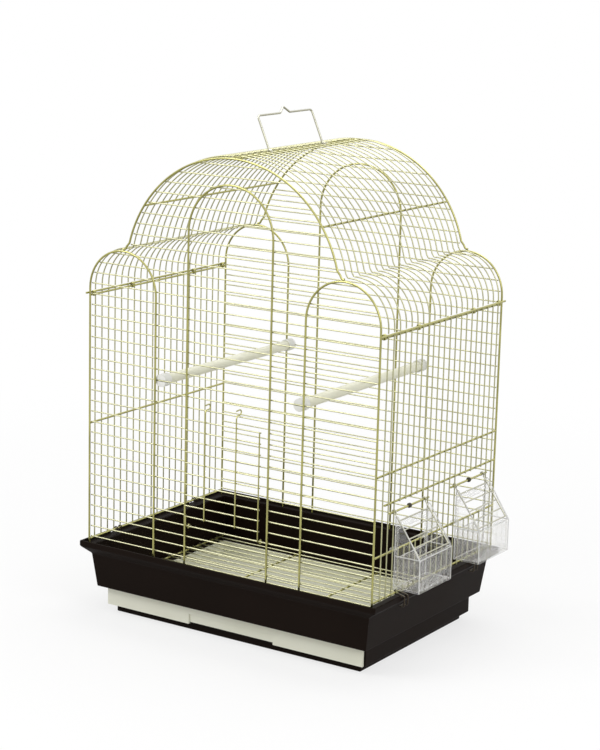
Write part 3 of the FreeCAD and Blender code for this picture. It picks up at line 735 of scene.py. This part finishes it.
@dataclass
class Workshop:
    """Everything the sub-assemblies build with."""

    sizes: CageSizes
    materials: dict[str, Material]
    slots: dict[str, str]
    wires: NodeTree
    welds: NodeTree
    made: list[Object] = field(default_factory=list)

    def grow(self, tree: NodeTree, points: Path, edges: list, values: dict) -> Mesh:
        """Run a node tree over points and keep the result as a plain mesh.

        Args:
            tree: Geometry node tree.
            points: Points that it starts from.
            edges: Pairs of points that make paths.
            values: Input names and their values.

        Returns:
            The finished mesh.
        """
        start = bpy.data.meshes.new(tree.name)
        start.from_pydata(points, edges, [])
        carrier = bpy.data.objects.new(tree.name, start)
        bpy.context.scene.collection.objects.link(carrier)
        modifier = carrier.modifiers.new("grow", "NODES")
        modifier.node_group = tree
        values["Material"] = self.materials["plated_wire"]
        for item in tree.interface.items_tree:
            if item.item_type == "SOCKET" and item.in_out == "INPUT" and item.name in values:
                modifier[item.identifier] = values[item.name]
        bpy.context.view_layer.update()
        depsgraph = bpy.context.evaluated_depsgraph_get()
        result = bpy.data.meshes.new_from_object(carrier.evaluated_get(depsgraph))
        bpy.data.objects.remove(carrier)
        return result

    def wire_mesh(self, paths: list[Path], gauge: float, facets: Facets) -> Mesh:
        """Round wires along paths.

        Args:
            paths: Middle lines of the wires.
            gauge: Diameter of the wires.
            facets: Faces round the wires.

        Returns:
            The mesh.
        """
        points, edges = [], []
        for path in paths:
            first = len(points)
            points.extend(path)
            edges.extend((first + step, first + step + 1) for step in range(len(path) - 1))
        values = {"Diameter": float(gauge), "Bend": BEND_SHARE * gauge, "Sides": int(facets)}
        return self.grow(self.wires, points, edges, values)

    def weld_mesh(self, spots: Path) -> Mesh:
        """Small welds at points."""
        return self.grow(self.welds, spots, [], {"Size": WELD_SIZE, "Seed": WELD_SEED})

    def place(
        self, name: str, meshes: list[Mesh], body: str, nodes: tuple[str, ...],
        finish: str = "plated_wire", later_finish: str = "weld_metal",
    ) -> Object:
        """Join meshes into one piece that stands for some nodes.

        Args:
            name: Name of the piece.
            meshes: Meshes in the model's frame.
            body: Body that the piece rides on.
            nodes: Nodes that it replaces.
            finish: Name of the first mesh's finish.
            later_finish: Name of the other meshes' finish.

        Returns:
            The finished piece.
        """
        joined = bmesh.new()
        whole = bpy.data.meshes.new(name)
        whole.materials.append(self.materials[finish])
        for mesh in meshes:
            first_face = len(joined.faces)
            joined.from_mesh(mesh)
            joined.faces.ensure_lookup_table()
            for face in joined.faces[first_face:]:
                face.material_index = 1 if first_face else 0
        joined.to_mesh(whole)
        joined.free()
        if len(meshes) > 1:
            whole.materials.append(self.materials[later_finish])
        piece = bpy.data.objects.new(name, whole)
        bpy.context.scene.collection.objects.link(piece)
        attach(piece, body)
        if nodes:
            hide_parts(*nodes)
        self.made.append(piece)
        return piece

    # by default in the darker copy of the plating, which paints shade on the bars
    def wires_for(
        self, node: str, paths: list[Path], gauge: float = Gauge.FRAME,
        facets: Facets = Facets.LARGE, finish: str = "bar_wire", body: str = ROOT,
    ) -> None:
        """Place the wires that stand for one node.

        Args:
            node: Node that they replace.
            paths: Middle lines of the wires.
            gauge: Diameter of the wires.
            facets: Faces round the wires.
            finish: Name of their finish.
            body: Body that they ride on.
        """
        self.place(node + "_wire", [self.wire_mesh(paths, gauge, facets)], body, (node,), finish)

    def welded_wires_for(self, node: str, paths: list[Path], spots: Path) -> None:
        """Place the thin wires that stand for one node, with their welds.

        Args:
            node: Node that they replace.
            paths: Middle lines of the wires.
            spots: Middles of the welds.
        """
        meshes = [self.wire_mesh(paths, Gauge.MESH, Facets.USUAL), self.weld_mesh(spots)]
        self.place(node + "_wire", meshes, ROOT, (node,))

    def moulded(
        self, node: str, body: str, finish: str, bevel: float,
        edge_highlight_finish: str | None = None, smooth: bool = False,
    ) -> None:
        """Place a moulded piece in a node's own shape, with rounded edges.

        Args:
            node: Node whose shape it takes and which it stands for.
            body: Body that the piece rides on.
            finish: Name of its finish.
            bevel: Width of the rounded edges.
            edge_highlight_finish: Name of a finish that paints a highlight on the rounded edges, if they
                have one.
            smooth: Whether its curved faces are shaded round.
        """
        shape = bmesh.new()
        shape.from_mesh(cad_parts[node].data)
        bmesh.ops.remove_doubles(shape, verts=shape.verts, dist=MERGE_DISTANCE)
        flat = math.radians(FLAT_ANGLE)
        bmesh.ops.dissolve_limit(
            shape, angle_limit=flat, verts=shape.verts, edges=shape.edges, use_dissolve_boundaries=False
        )
        for face in shape.faces:
            face.smooth = smooth
        mesh = bpy.data.meshes.new(node)
        shape.to_mesh(mesh)
        shape.free()
        piece = self.place(node + "_moulded", [mesh], body, (node,), finish)
        soften = piece.modifiers.new("soft_edges", "BEVEL")
        soften.width = bevel
        soften.segments = EDGE_STEPS
        soften.limit_method = "ANGLE"
        soften.angle_limit = math.radians(EDGE_ANGLE)
        soften.harden_normals = smooth
        # the rounded edges take the second finish, a painted highlight
        if edge_highlight_finish:
            piece.data.materials.append(self.materials[edge_highlight_finish])
            soften.material = 1


# Sub-assemblies


@dataclass
class Part:
    """A sub-assembly that is built in the workshop."""

    shop: Workshop

    @property
    def sizes(self) -> CageSizes:
        """Sizes that the sub-assemblies share."""
        return self.shop.sizes


@dataclass
class Mouldings(Part):
    """Base, drawer, perches and caps, in the model's shapes with rounded edges."""

    base_edge: float = 1.2 * MM
    drawer_edge: float = 1.0 * MM
    perch_edge: float = 0.5 * MM
    cap_edge: float = 0.3 * MM

    def build(self) -> None:
        """Build the mouldings."""
        moulded = self.shop.moulded
        moulded("base_tray", ROOT, "base_plastic", self.base_edge)
        moulded("drawer", "drawer_pan", "drawer_plastic", self.drawer_edge)
        for side in Side:
            moulded(f"perch_{word(side)}", ROOT, "perch_wood", self.perch_edge, smooth=True)
            for end in End:
                node = f"perch_cap_{word(side)}_{word(end)}"
                moulded(node, ROOT, "cap_plastic", self.cap_edge, smooth=True)


@dataclass
class FloorGrille(Part):
    """Cross bars and close wires over the drawer."""

    spaces: int = 18
    bar_offset: float = 61.5 * MM

    def build(self) -> None:
        """Build the grille."""
        low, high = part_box("floor_grille")
        bar_z = low.z + Gauge.FRAME / 2
        wire_z = high.z - Gauge.MESH / 2
        edge = high.x - Gauge.FRAME / 2
        places = (-edge, -self.bar_offset, self.bar_offset, edge)
        bars = [along(x, bar_z, low.y, high.y) for x in places]
        reach = high.y - Gauge.MESH / 2
        places = [2 * reach * number / self.spaces - reach for number in range(self.spaces + 1)]
        wires = [line((low.x, y, wire_z), (high.x, y, wire_z)) for y in places]
        meshes = [
            self.shop.wire_mesh(bars, Gauge.FRAME, Facets.USUAL),
            self.shop.wire_mesh(wires, Gauge.MESH, Facets.SMALL),
        ]
        place, nodes = self.shop.place, ("floor_grille",)
        # grille bars in the darker plating copy, painted shade under the close wires
        place("floor_grille_wire", meshes, ROOT, nodes, "bar_wire", "plated_wire")


@dataclass
class PanelFrame(Part):
    """Posts and arches of the front or back panel."""

    node: str
    end: End
    steps: int = 28

    def hoop(self, right: float, left: float, spring: float) -> Points:
        """Two posts joined by a half round arch that starts at a height."""
        top = arc(((right + left) / 2, spring), (right - left) / 2, 0, 180, self.steps)
        return [(right, self.sizes.foot_z)] + top + [(left, self.sizes.foot_z)]

    def arch(self) -> Points:
        """Main arch with its bends onto the shoulders.

        Returns:
            Points across the panel.
        """
        sizes = self.sizes
        valley, start = sizes.valley(Gauge.FRAME + sizes.weld_gap)
        bend = [(sizes.shoulder_x, valley[0][1])] + valley
        angle = math.degrees(math.asin((start - sizes.arch_centre) / sizes.arch_radius))
        centre = (0, sizes.arch_centre)
        top = arc(centre, sizes.arch_radius, angle, 180 - angle, 2 * self.steps)
        return bend + top + flip(bend)[::-1]

    def build(self) -> None:
        """Build the panel's frame."""
        sizes = self.sizes
        shoulder = self.hoop(sizes.post_x, sizes.inner_post, sizes.shoulder_spring)
        middle = self.hoop(sizes.centre_post, -sizes.centre_post, sizes.centre_spring)
        outlines = (shoulder, flip(shoulder), middle, self.arch())
        paths = [in_xz(outline, self.end * sizes.frame_y) for outline in outlines]
        self.shop.wires_for(self.node, paths, facets=Facets.LARGEST)


@dataclass
class PanelRows(Part):
    """Horizontal wires of a panel with their welds on the posts."""

    node: str
    end: End
    numbers: range
    start: float | None = None
    stop: float | None = None

    def build(self) -> None:
        """Build the rows."""
        sizes = self.sizes
        y = -self.end * sizes.row_y
        weld_y = y + self.end * Gauge.MESH / 2
        posts = [side * post for post in (sizes.centre_post, sizes.inner_post) for side in Side]
        paths, spots = [], []
        for number in self.numbers:
            z = sizes.row_z(number)
            reach = sizes.row_reach(z)
            left = -reach if self.start is None else self.start
            right = reach if self.stop is None else self.stop
            paths.append(line((left, y, z), (right, y, z)))
            if z < sizes.shoulder_spring:
                spots += [Vector((x, weld_y, z)) for x in posts if left <= x <= right]
        self.shop.welded_wires_for(self.node, paths, spots)


@dataclass
class SideWall(Part):
    """Bars and upright wires of one side wall."""

    side: Side
    open_at: tuple[int, ...] = ()
    open_wires: int = 2

    def build(self) -> None:
        """Build the wall."""
        sizes = self.sizes
        node = f"{word(self.side)}_wall_bars"
        low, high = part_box(node)
        levels = (SILL_HEIGHT, BELT_HEIGHT, WALL_TOP)
        bars = [along(self.side * sizes.post_x, z, low.y, high.y) for z in levels]
        self.shop.wires_for(node, bars)
        node = f"{word(self.side)}_wall_wires"
        low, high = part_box(node)
        x, half = self.side * sizes.mesh_x, Gauge.FRAME / 2
        weld_x = x - self.side * Gauge.MESH / 2
        paths, spots = [], []
        for number in range(1, sizes.side_spaces):
            y = sizes.wire_y(number)
            spans = [(low.z, high.z)]
            if any(abs(number - place) <= self.open_wires for place in self.open_at):
                spans = [(low.z, FEEDER_SILL + half), (FEEDER_BAR - half, high.z)]
            paths += [line((x, y, start), (x, y, stop)) for start, stop in spans]
            spots += [Vector((weld_x, y, z)) for z in levels]
        self.shop.welded_wires_for(node, paths, spots)


@dataclass
class RoofHalf(Part):
    """Bent wires and bars of one half of the roof."""

    side: Side
    steps: int = 14

    def outline(self) -> Points:
        """Roof wire from the eave to the ridge.

        Returns:
            Points across the roof.
        """
        sizes = self.sizes
        offset = (Gauge.FRAME + Gauge.MESH) / 2 + sizes.weld_gap
        valley, start = sizes.valley(offset)
        radius = sizes.arch_radius + offset
        first = math.degrees(math.asin((start - sizes.arch_centre) / radius))
        last = math.degrees(math.acos(sizes.ridge_offset / radius))
        centre = (sizes.shoulder_x, sizes.shoulder_spring)
        over = arc(centre, sizes.shoulder_radius + offset, 0, 90, self.steps)
        top = arc((0, sizes.arch_centre), radius, first, last, 2 * self.steps)
        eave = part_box(f"roof_wires_{word(self.side)}")[0].z
        path = [(sizes.mesh_x, eave)] + over + valley + top
        return path if self.side is Side.RIGHT else flip(path)

    def build(self) -> None:
        """Build the roof half."""
        sizes, outline = self.sizes, self.outline()
        node = f"roof_wires_{word(self.side)}"
        paths = [in_xz(outline, sizes.wire_y(number)) for number in range(1, sizes.side_spaces)]
        self.shop.wires_for(node, paths, Gauge.MESH, Facets.SMALL, "plated_wire")
        node = f"roof_bars_{word(self.side)}"
        low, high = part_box(node)
        end = sizes.frame_y - Gauge.FRAME / 2 - sizes.weld_gap
        eave = max(abs(low.x), abs(high.x)) - Gauge.FRAME / 2
        bars = [
            along(self.side * eave, EAVE_HEIGHT, low.y, high.y),
            along(self.side * sizes.arch_x(PURLIN_HEIGHT), PURLIN_HEIGHT, -end, end),
            along(self.side * sizes.ridge_offset, sizes.ridge_z, -end, end),
        ]
        self.shop.wires_for(node, bars)


@dataclass
class EaveTies(Part):
    """Wound wires that tie the roof's lowest bar to the bar on top of the wall."""

    side: Side
    places: tuple[float, ...] = (0.6, 6.5, 16.5, 21.4)
    gauge: float = 1.0 * MM
    turns: int = 4
    steps: int = 8

    def wound(self, y: float) -> Path:
        """Wire wound round both bars.

        Args:
            y: Middle of the winding.

        Returns:
            Its path.
        """
        radius = (Gauge.FRAME + self.gauge) / 2 + self.sizes.weld_gap
        x = self.side * self.sizes.post_x
        over = arc((x, EAVE_HEIGHT), radius, 0, 180, self.steps)
        turn = over + arc((x, WALL_TOP), radius, 180, 360, self.steps)
        pitch = self.gauge + self.sizes.weld_gap
        start = y - pitch * self.turns / 2
        path = []
        for step in range(self.turns * len(turn)):
            across, up = turn[step % len(turn)]
            path.append(Vector((across, start + pitch * step / len(turn), up)))
        return path

    def build(self) -> None:
        """Build the ties of one side."""
        paths = [self.wound(self.sizes.wire_y(place)) for place in self.places]
        mesh = self.shop.wire_mesh(paths, self.gauge, Facets.SMALL)
        # ties in the darker plating copy, painted shade
        self.shop.place(f"eave_ties_{word(self.side)}", [mesh], ROOT, (), "bar_wire")


@dataclass
class FrontDoor(Part):
    """Drop-down door with its curls, edge wire and link."""

    left: float = 57.0 * MM
    right: float = 49.4 * MM
    bars: tuple[float, float] = (-28.0 * MM, 16.0 * MM)
    edge: float = 48.5 * MM
    link: float = -54.5 * MM
    curl: float = 3.2 * MM
    curl_end: float = 80.0
    curl_steps: int = 16
    tail: tuple[float, float] = (-144.3 * MM, 5.7 * MM)

    @property
    def row_y(self) -> float:
        """Middle of the door's rows."""
        return -self.sizes.frame_y - (Gauge.FRAME + Gauge.MESH) / 2 - self.sizes.running_gap

    @property
    def bar_y(self) -> float:
        """Middle of the door's uprights."""
        return self.row_y - Gauge.MESH - self.sizes.weld_gap

    def curled(self) -> Points:
        """Upright wire with its hook over the row above the door, whose end stands out in front.

        Returns:
            Points along the cage.
        """
        sizes = self.sizes
        low = sizes.row_z(sizes.upper_row) + Gauge.MESH + sizes.running_gap
        curl = arc((sizes.row_y, low + self.curl), self.curl, -90, self.curl_end, self.curl_steps)
        bottom = sizes.row_z(sizes.lower_rows) - Gauge.MESH / 2
        knee = [
            (self.bar_y, bottom),
            (self.bar_y, low - self.curl),
            (self.bar_y + self.curl / 2, low),
        ]
        return knee + curl + [(self.tail[0], low + self.tail[1])]

    def eyed(self, last_row: int) -> Points:
        """Upright wire with an eye round the row under the door.

        Args:
            last_row: Highest row that it reaches.

        Returns:
            Points along the cage.
        """
        sizes = self.sizes
        centre = (sizes.row_y, sizes.row_z(sizes.lower_rows - 1))
        radius = Gauge.MESH + sizes.running_gap
        top = sizes.row_z(last_row) + Gauge.MESH / 2
        return [(self.bar_y, top), (self.bar_y, centre[1] + radius)] + eye(centre, radius, 180)

    def build(self) -> None:
        """Build the door."""
        sizes, shop = self.sizes, self.shop
        first = sizes.lower_rows
        rows, spots = [], []
        for number in range(first, sizes.upper_row):
            z = sizes.row_z(number)
            rows.append(line((-self.left, self.row_y, z), (self.right, self.row_y, z)))
            crossings = [*self.bars, self.edge] + [self.link] * (number == first)
            spots += [Vector((x, self.row_y - Gauge.MESH / 2, z)) for x in crossings]
        uprights = [in_yz(self.curled(), x) for x in self.bars]
        uprights.append(in_yz(self.eyed(sizes.upper_row - 1), self.edge))
        uprights.append(in_yz(self.eyed(first), self.link))
        meshes = [shop.wire_mesh(paths, Gauge.MESH, Facets.LARGE) for paths in (rows, uprights)]
        meshes.append(shop.weld_mesh(spots))
        # uprights and welds in the darker plating copy, painted shade
        shop.place("front_door_wire", meshes, "door", ("front_door",), later_finish="bar_wire")


@dataclass
class StraightBar(Part):
    """Bar through the middle of its node's box, along the cage."""

    node: str

    def build(self) -> None:
        """Build the bar."""
        low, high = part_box(self.node)
        middle = (low + high) / 2
        self.shop.wires_for(self.node, [along(middle.x, middle.z, low.y, high.y)])


@dataclass
class Feeder(Part):
    """Clear cup, wire hood, hinge rod and bead."""

    end: End
    hood_width: float = 68.0 * MM
    hood_front: float = 237.4 * MM
    hood_bottom: float = 144.2 * MM
    bars: int = 5
    cup_wall: float = 1.6 * MM
    cup_rim: float = 142.0 * MM
    cup_edge: float = 0.7 * MM
    cheek_flat: float = 3.0 * MM
    thick_edge: float = 1.15 * MM
    bead_end: float = 0.55
    bead_rings: int = 12
    bead_sides: int = 24

    def hood_paths(self, y: float, hinge_z: float) -> list[Path]:
        """Side wires and cross bars of the hood.

        Args:
            y: Middle of the hood.
            hinge_z: Height of its hinge rod.

        Returns:
            Middle lines of its wires.
        """
        hinge = Vector((self.sizes.post_x, hinge_z))
        low = Vector((self.hood_front, self.hood_bottom))
        slope = (low - hinge).normalized()
        radius = (Gauge.FRAME + Gauge.MESH) / 2 + self.sizes.running_gap
        entry = math.degrees(math.atan2(slope.y, slope.x))
        side = [tuple(low)] + eye(tuple(hinge), radius, entry)
        half = self.hood_width / 2
        paths = [in_xz(side, y - half), in_xz(side, y + half)]
        span = (low - hinge).length
        for number in range(1, self.bars + 1):
            last = number == self.bars
            spot = hinge + slope * (span * number / self.bars - last * Gauge.MESH / 2)
            paths.append(along(spot.x, spot.y, y - half, y + half))
        return paths

    def edge_paths(self) -> list[Path]:
        """Thickened rim, corners and cheek edges in the walls of the cup, drawn in a paler, more opaque
        finish as painted highlights.

        Returns:
            Paths along the middle of the walls.
        """
        low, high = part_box(f"feeder_cup_{word(self.end)}")
        inset = self.cup_wall / 2
        rim, bottom, top = self.cup_rim - inset, low.z + inset, high.z - inset
        back, front = self.sizes.post_x + self.cup_wall + Gauge.FRAME, high.x - inset
        near, far = low.y + inset, high.y - inset
        corners = [(back, near), (front, near), (front, far), (back, far)]
        paths = [[Vector((x, y, rim)) for x, y in corners]]
        cheek = [(back, bottom), (back, top), (back + self.cheek_flat, top), (front - inset, rim)]
        for y in (near, far):
            paths.append(line((front, y, bottom), (front, y, rim)))
            paths.append(in_xz(cheek, y))
        return paths

    def bead_mesh(self, node: str) -> Mesh:
        """Round bead with a bore for the hinge rod.

        Args:
            node: Node whose box it fills.

        Returns:
            The turned shape.
        """
        low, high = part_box(node)
        centre, size = (low + high) / 2, (high - low) / 2
        bore = Gauge.FRAME / 2 + self.sizes.weld_gap
        last = math.degrees(math.acos(self.bead_end))
        profile = arc((0, 0), 1, -last, last, self.bead_rings)
        rings = [(size.x * across, size.y * up / profile[-1][1]) for across, up in profile]
        shape, loops = bmesh.new(), []
        for radius, offset in [(bore, -size.y)] + rings + [(bore, size.y)]:
            turned = arc((0, 0), radius, 0, 360, self.bead_sides)[:-1]
            places = [centre + Vector((x, offset, -z)) for x, z in turned]
            loops.append([shape.verts.new(place) for place in places])
        for lower, upper in zip(loops, loops[1:] + loops[:1]):
            for step in range(self.bead_sides):
                after = (step + 1) % self.bead_sides
                face = shape.faces.new((lower[step], lower[after], upper[after], upper[step]))
                face.smooth = True
        bmesh.ops.recalc_face_normals(shape, faces=shape.faces)
        mesh = bpy.data.meshes.new(node)
        shape.to_mesh(mesh)
        shape.free()
        return mesh

    def build(self) -> None:
        """Build the feeder."""
        shop, name = self.shop, word(self.end)
        cup, rod = f"feeder_cup_{name}", f"feeder_hinge_rod_{name}"
        StraightBar(shop, rod).build()
        paths = self.hood_paths(box_middle(cup).y, box_middle(rod).z)
        hood = f"feeder_hood_{name}"
        shop.wires_for(hood, paths, Gauge.MESH, finish="pale_wire", body=f"hood_{name}")
        bead = f"feeder_bead_{name}"
        shop.place(bead + "_round", [self.bead_mesh(bead)], ROOT, (bead,), "bead_plastic")
        # the cup's rounded edges take the paler finish, a painted highlight
        shop.moulded(cup, ROOT, "clear_plastic", self.cup_edge, "clear_edge_highlight")
        # tubes along the rim, corners and cheeks in the paler finish, painted highlights along the cup's
        # edges
        mesh = shop.wire_mesh(self.edge_paths(), self.thick_edge, Facets.USUAL)
        shop.place(cup + "_rim", [mesh], ROOT, (), "clear_edge_highlight")


@dataclass
class CarryHandle(Part):
    """Bent handle with an eye at each foot."""

    spread: float = 114.0 * MM
    rise: float = 45.0 * MM
    corner: float = 4.0 * MM
    corner_steps: int = 8
    hump: float = 7.5 * MM
    hump_width: float = 20.0 * MM
    lean: float = 24.0
    foot_turn: float = 355.0
    foot_steps: int = 24

    def build(self) -> None:
        """Build the handle."""
        pivot = Vector((-self.sizes.ridge_offset, 0, self.sizes.ridge_z))
        turn = Matrix.Rotation(-math.radians(self.lean), 4, "Y")
        half = self.spread / 2
        radius = Gauge.FRAME + self.sizes.running_gap
        centre = (half - self.corner, self.rise - self.corner)
        top = arc(centre, self.corner, 0, 90, self.corner_steps)
        side = [(half, radius)] + top + [(self.hump_width / 2, self.rise), (0, self.rise + self.hump)]
        foot = arc((0, 0), radius, 90, 90 + self.foot_turn, self.foot_steps)
        paths = [in_yz(side + flip(side)[-2::-1], 0), in_xz(foot, -half), in_xz(foot, half)]
        paths = [[pivot + turn @ point for point in path] for path in paths]
        self.shop.wires_for("carry_handle", paths, finish="pale_wire", body="handle")


@dataclass
class BaseClip(Part):
    """Double wire clip on the sill bar."""

    side: Side
    end: End
    spread: float = 7.8 * MM
    reach: float = 214.4 * MM
    foot: float = 207.4 * MM
    bottom: float = 78.0 * MM
    shoulder: float = 90.4 * MM
    entry: float = -40.0

    def build(self) -> None:
        """Build the clip."""
        name, gauge = f"{word(self.side)}_{word(self.end)}", Gauge.MESH
        node = f"base_clip_{name}"
        centre = (self.sizes.post_x, SILL_HEIGHT)
        radius = (Gauge.FRAME + gauge) / 2 + self.sizes.running_gap
        leg = [
            (self.foot, self.bottom),
            (self.reach - gauge, self.bottom),
            (self.reach, self.bottom + gauge),
            (self.reach, self.shoulder),
        ] + eye(centre, radius, self.entry, -EYE_TURN)
        if self.side is Side.LEFT:
            leg = flip(leg)
        middle, half = box_middle(node).y, self.spread / 2
        paths = [in_xz(leg, middle - half), in_xz(leg, middle + half)]
        x = self.side * (self.foot + gauge / 2)
        paths.append(along(x, self.bottom, middle - half, middle + half))
        self.shop.wires_for(node, paths, gauge, Facets.USUAL, "clip_wire", f"clip_{name}")


# Studio


@dataclass
class Studio:
    """White floor, soft light and the camera."""

    floor_size: float = 30.0
    floor_drop: float = 0.5 * MM
    fade_start: float = 0.45
    fade_end: float = 1.3
    edge_white: float = 0.72
    lit_grey: float = 0.8
    pale_grey: float = 0.9
    world_light: float = 0.55
    lamps: tuple = (
        ("key", (-1.6, -2.2, 2.4), 1.6, 42),
        ("fill", (2.6, -0.8, 1.6), 1.8, 22),
        ("top", (0.2, 0.6, 2.8), 1.8, 26),
    )
    aim: tuple = (0, 0, 0.3)
    camera_place: tuple = (1.3636, -2.0868, 0.8617)
    azimuth: float = 33.01
    pitch: float = 12.60
    roll: float = 1.48
    focal_pixels: float = 2115.0
    image_height: float = 750.0
    sensor: float = 36.0
    furthest: float = 50.0

    def seen_white(self, shader: Nodes, shown: Node, lit: Node) -> Node:
        """Mix a look for the camera, reflections and clear plastic with one for light.

        Args:
            shader: Node tree that is built.
            shown: Look for the camera, reflections and clear plastic.
            lit: Look for all other light.

        Returns:
            The mixed look.
        """
        path = shader.add("ShaderNodeLightPath")
        first = shader.add("ShaderNodeMath", operation="MAXIMUM")
        either = shader.add("ShaderNodeMath", operation="MAXIMUM")
        mix = shader.add("ShaderNodeMixShader")
        shader.chain(path, "Is Camera Ray", 0, first, "Value", 0, either, "Value", 0, mix)
        shader.chain(path, "Is Glossy Ray", 1, first)
        shader.chain(path, "Is Transmission Ray", 1, either)
        shader.chain(lit, 0, 1, mix)
        shader.chain(shown, 0, 2, mix)
        return mix

    def floor(self) -> None:
        """Lay a pale floor that keeps a soft shadow."""
        bpy.ops.mesh.primitive_plane_add(size=self.floor_size, location=(0, 0, -self.floor_drop))
        plane = bpy.context.object
        plane.name = "studio_floor"
        material = bpy.data.materials.new("studio_floor")
        material.use_nodes = True
        shader = Nodes(material.node_tree)
        material.node_tree.nodes.remove(material.node_tree.nodes["Principled BSDF"])
        output = material.node_tree.nodes["Material Output"]
        lit = shader.add("ShaderNodeBsdfDiffuse", Color=(*[self.lit_grey] * 3, 1))
        pale = shader.add("ShaderNodeBsdfDiffuse", Color=(*[self.pale_grey] * 3, 1))
        glow = shader.add("ShaderNodeEmission", Color=(1, 1, 1, 1), Strength=1.0)
        place = shader.add("ShaderNodeTexCoord")
        reach = shader.add("ShaderNodeVectorMath", operation="LENGTH")
        fade = shader.add("ShaderNodeMapRange", interpolation_type="SMOOTHSTEP", To_Min=self.edge_white)
        fade.inputs["From Min"].default_value = self.fade_start
        fade.inputs["From Max"].default_value = self.fade_end
        shown = shader.add("ShaderNodeMixShader")
        shader.chain(place, "Object", 0, reach, "Value", "Value", fade, "Result", 0, shown)
        shader.chain(pale, 0, 1, shown)
        shader.chain(glow, 0, 2, shown)
        shader.chain(self.seen_white(shader, shown, lit), 0, 0, output)
        plane.data.materials.append(material)

    def world(self) -> None:
        """Make white surroundings with an even soft light."""
        world = bpy.data.worlds.new("studio_world")
        bpy.context.scene.world = world
        world.use_nodes = True
        shader = Nodes(world.node_tree)
        lit = world.node_tree.nodes["Background"]
        lit.inputs["Color"].default_value = (1, 1, 1, 1)
        lit.inputs["Strength"].default_value = self.world_light
        shown = shader.add("ShaderNodeBackground", Color=(1, 1, 1, 1), Strength=1.0)
        output = world.node_tree.nodes["World Output"]
        shader.chain(self.seen_white(shader, shown, lit), 0, 0, output)

    def lights(self) -> None:
        """Hang square soft lamps that shine at the cage."""
        for name, place, size, watts in self.lamps:
            data = bpy.data.lights.new(name, "AREA")
            data.size, data.energy = size, watts
            lamp = bpy.data.objects.new(name, data)
            lamp.location = place
            aim = Vector(self.aim) - Vector(place)
            lamp.rotation_euler = aim.to_track_quat("-Z", "Y").to_euler()
            bpy.context.scene.collection.objects.link(lamp)

    def camera(self) -> None:
        """Put the camera where the photograph was taken from."""
        data = bpy.data.cameras.new("camera")
        data.sensor_width = self.sensor
        data.lens = self.focal_pixels / self.image_height * data.sensor_width
        data.clip_end = self.furthest
        camera = bpy.data.objects.new("camera", data)
        turn = Matrix.Translation(self.camera_place)
        for angle, axis in ((self.azimuth, "Z"), (90 - self.pitch, "X"), (self.roll, "Z")):
            turn = turn @ Matrix.Rotation(math.radians(angle), 4, axis)
        camera.matrix_world = turn
        bpy.context.scene.collection.objects.link(camera)
        bpy.context.scene.camera = camera

    def build(self) -> None:
        """Set up the whole studio."""
        self.floor()
        self.world()
        self.lights()
        self.camera()
        bpy.context.scene.view_settings.view_transform = "Standard"


def sub_assemblies(shop: Workshop) -> list[Part]:
    """Every sub-assembly in build order.

    Args:
        shop: Workshop that they are built in.

    Returns:
        The sub-assemblies.
    """
    sizes = shop.sizes
    doorway, beside = sizes.centre_post, range(sizes.lower_rows, sizes.upper_row)
    return [
        Mouldings(shop),
        FloorGrille(shop),
        PanelFrame(shop, "front_frame", End.FRONT),
        PanelFrame(shop, "back_frame", End.REAR),
        PanelRows(shop, "front_rows_lower", End.FRONT, range(sizes.lower_rows)),
        PanelRows(shop, "front_rows_left", End.FRONT, beside, stop=-doorway),
        PanelRows(shop, "front_rows_right", End.FRONT, beside, start=doorway),
        PanelRows(shop, "front_rows_upper", End.FRONT, range(sizes.upper_row, sizes.row_count)),
        PanelRows(shop, "back_rows", End.REAR, range(sizes.row_count)),
        SideWall(shop, Side.LEFT),
        SideWall(shop, Side.RIGHT, open_at=FEEDER_WIRES),
        *[RoofHalf(shop, side) for side in Side],
        *[EaveTies(shop, side) for side in Side],
        FrontDoor(shop),
        StraightBar(shop, "feeder_bar_upper"),
        StraightBar(shop, "feeder_bar_lower"),
        *[Feeder(shop, end) for end in End],
        CarryHandle(shop),
        *[BaseClip(shop, side, end) for side in Side for end in End],
    ]


def clear_start_scene() -> None:
    """Remove the objects that a new file starts with."""
    for name in ("Cube", "Light", "Camera"):
        thing = bpy.data.objects.get(name)
        if thing:
            bpy.data.objects.remove(thing)


def main() -> None:
    """Build the dressed cage and its studio."""
    logging.basicConfig(level=logging.INFO, format="%(message)s")
    clear_start_scene()
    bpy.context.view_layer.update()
    groups = {"looks": variation_group(), "grain": grain_group(), "upper_tint": painted_top_light_group()}
    materials = {finish.name: finish.build(groups) for finish in FINISHES}
    slots = {finish.name: finish.slot for finish in FINISHES}
    shop = Workshop(CageSizes.from_frame(), materials, slots, wire_tree(), weld_tree())
    LOG.info("sizes: %s", shop.sizes)
    for part in sub_assemblies(shop):
        part.build()
    for piece in shop.made:
        LOG.info("%s: %d faces", piece.name, len(piece.data.polygons))
    Studio().build()


if __name__ == "__main__":
    main()
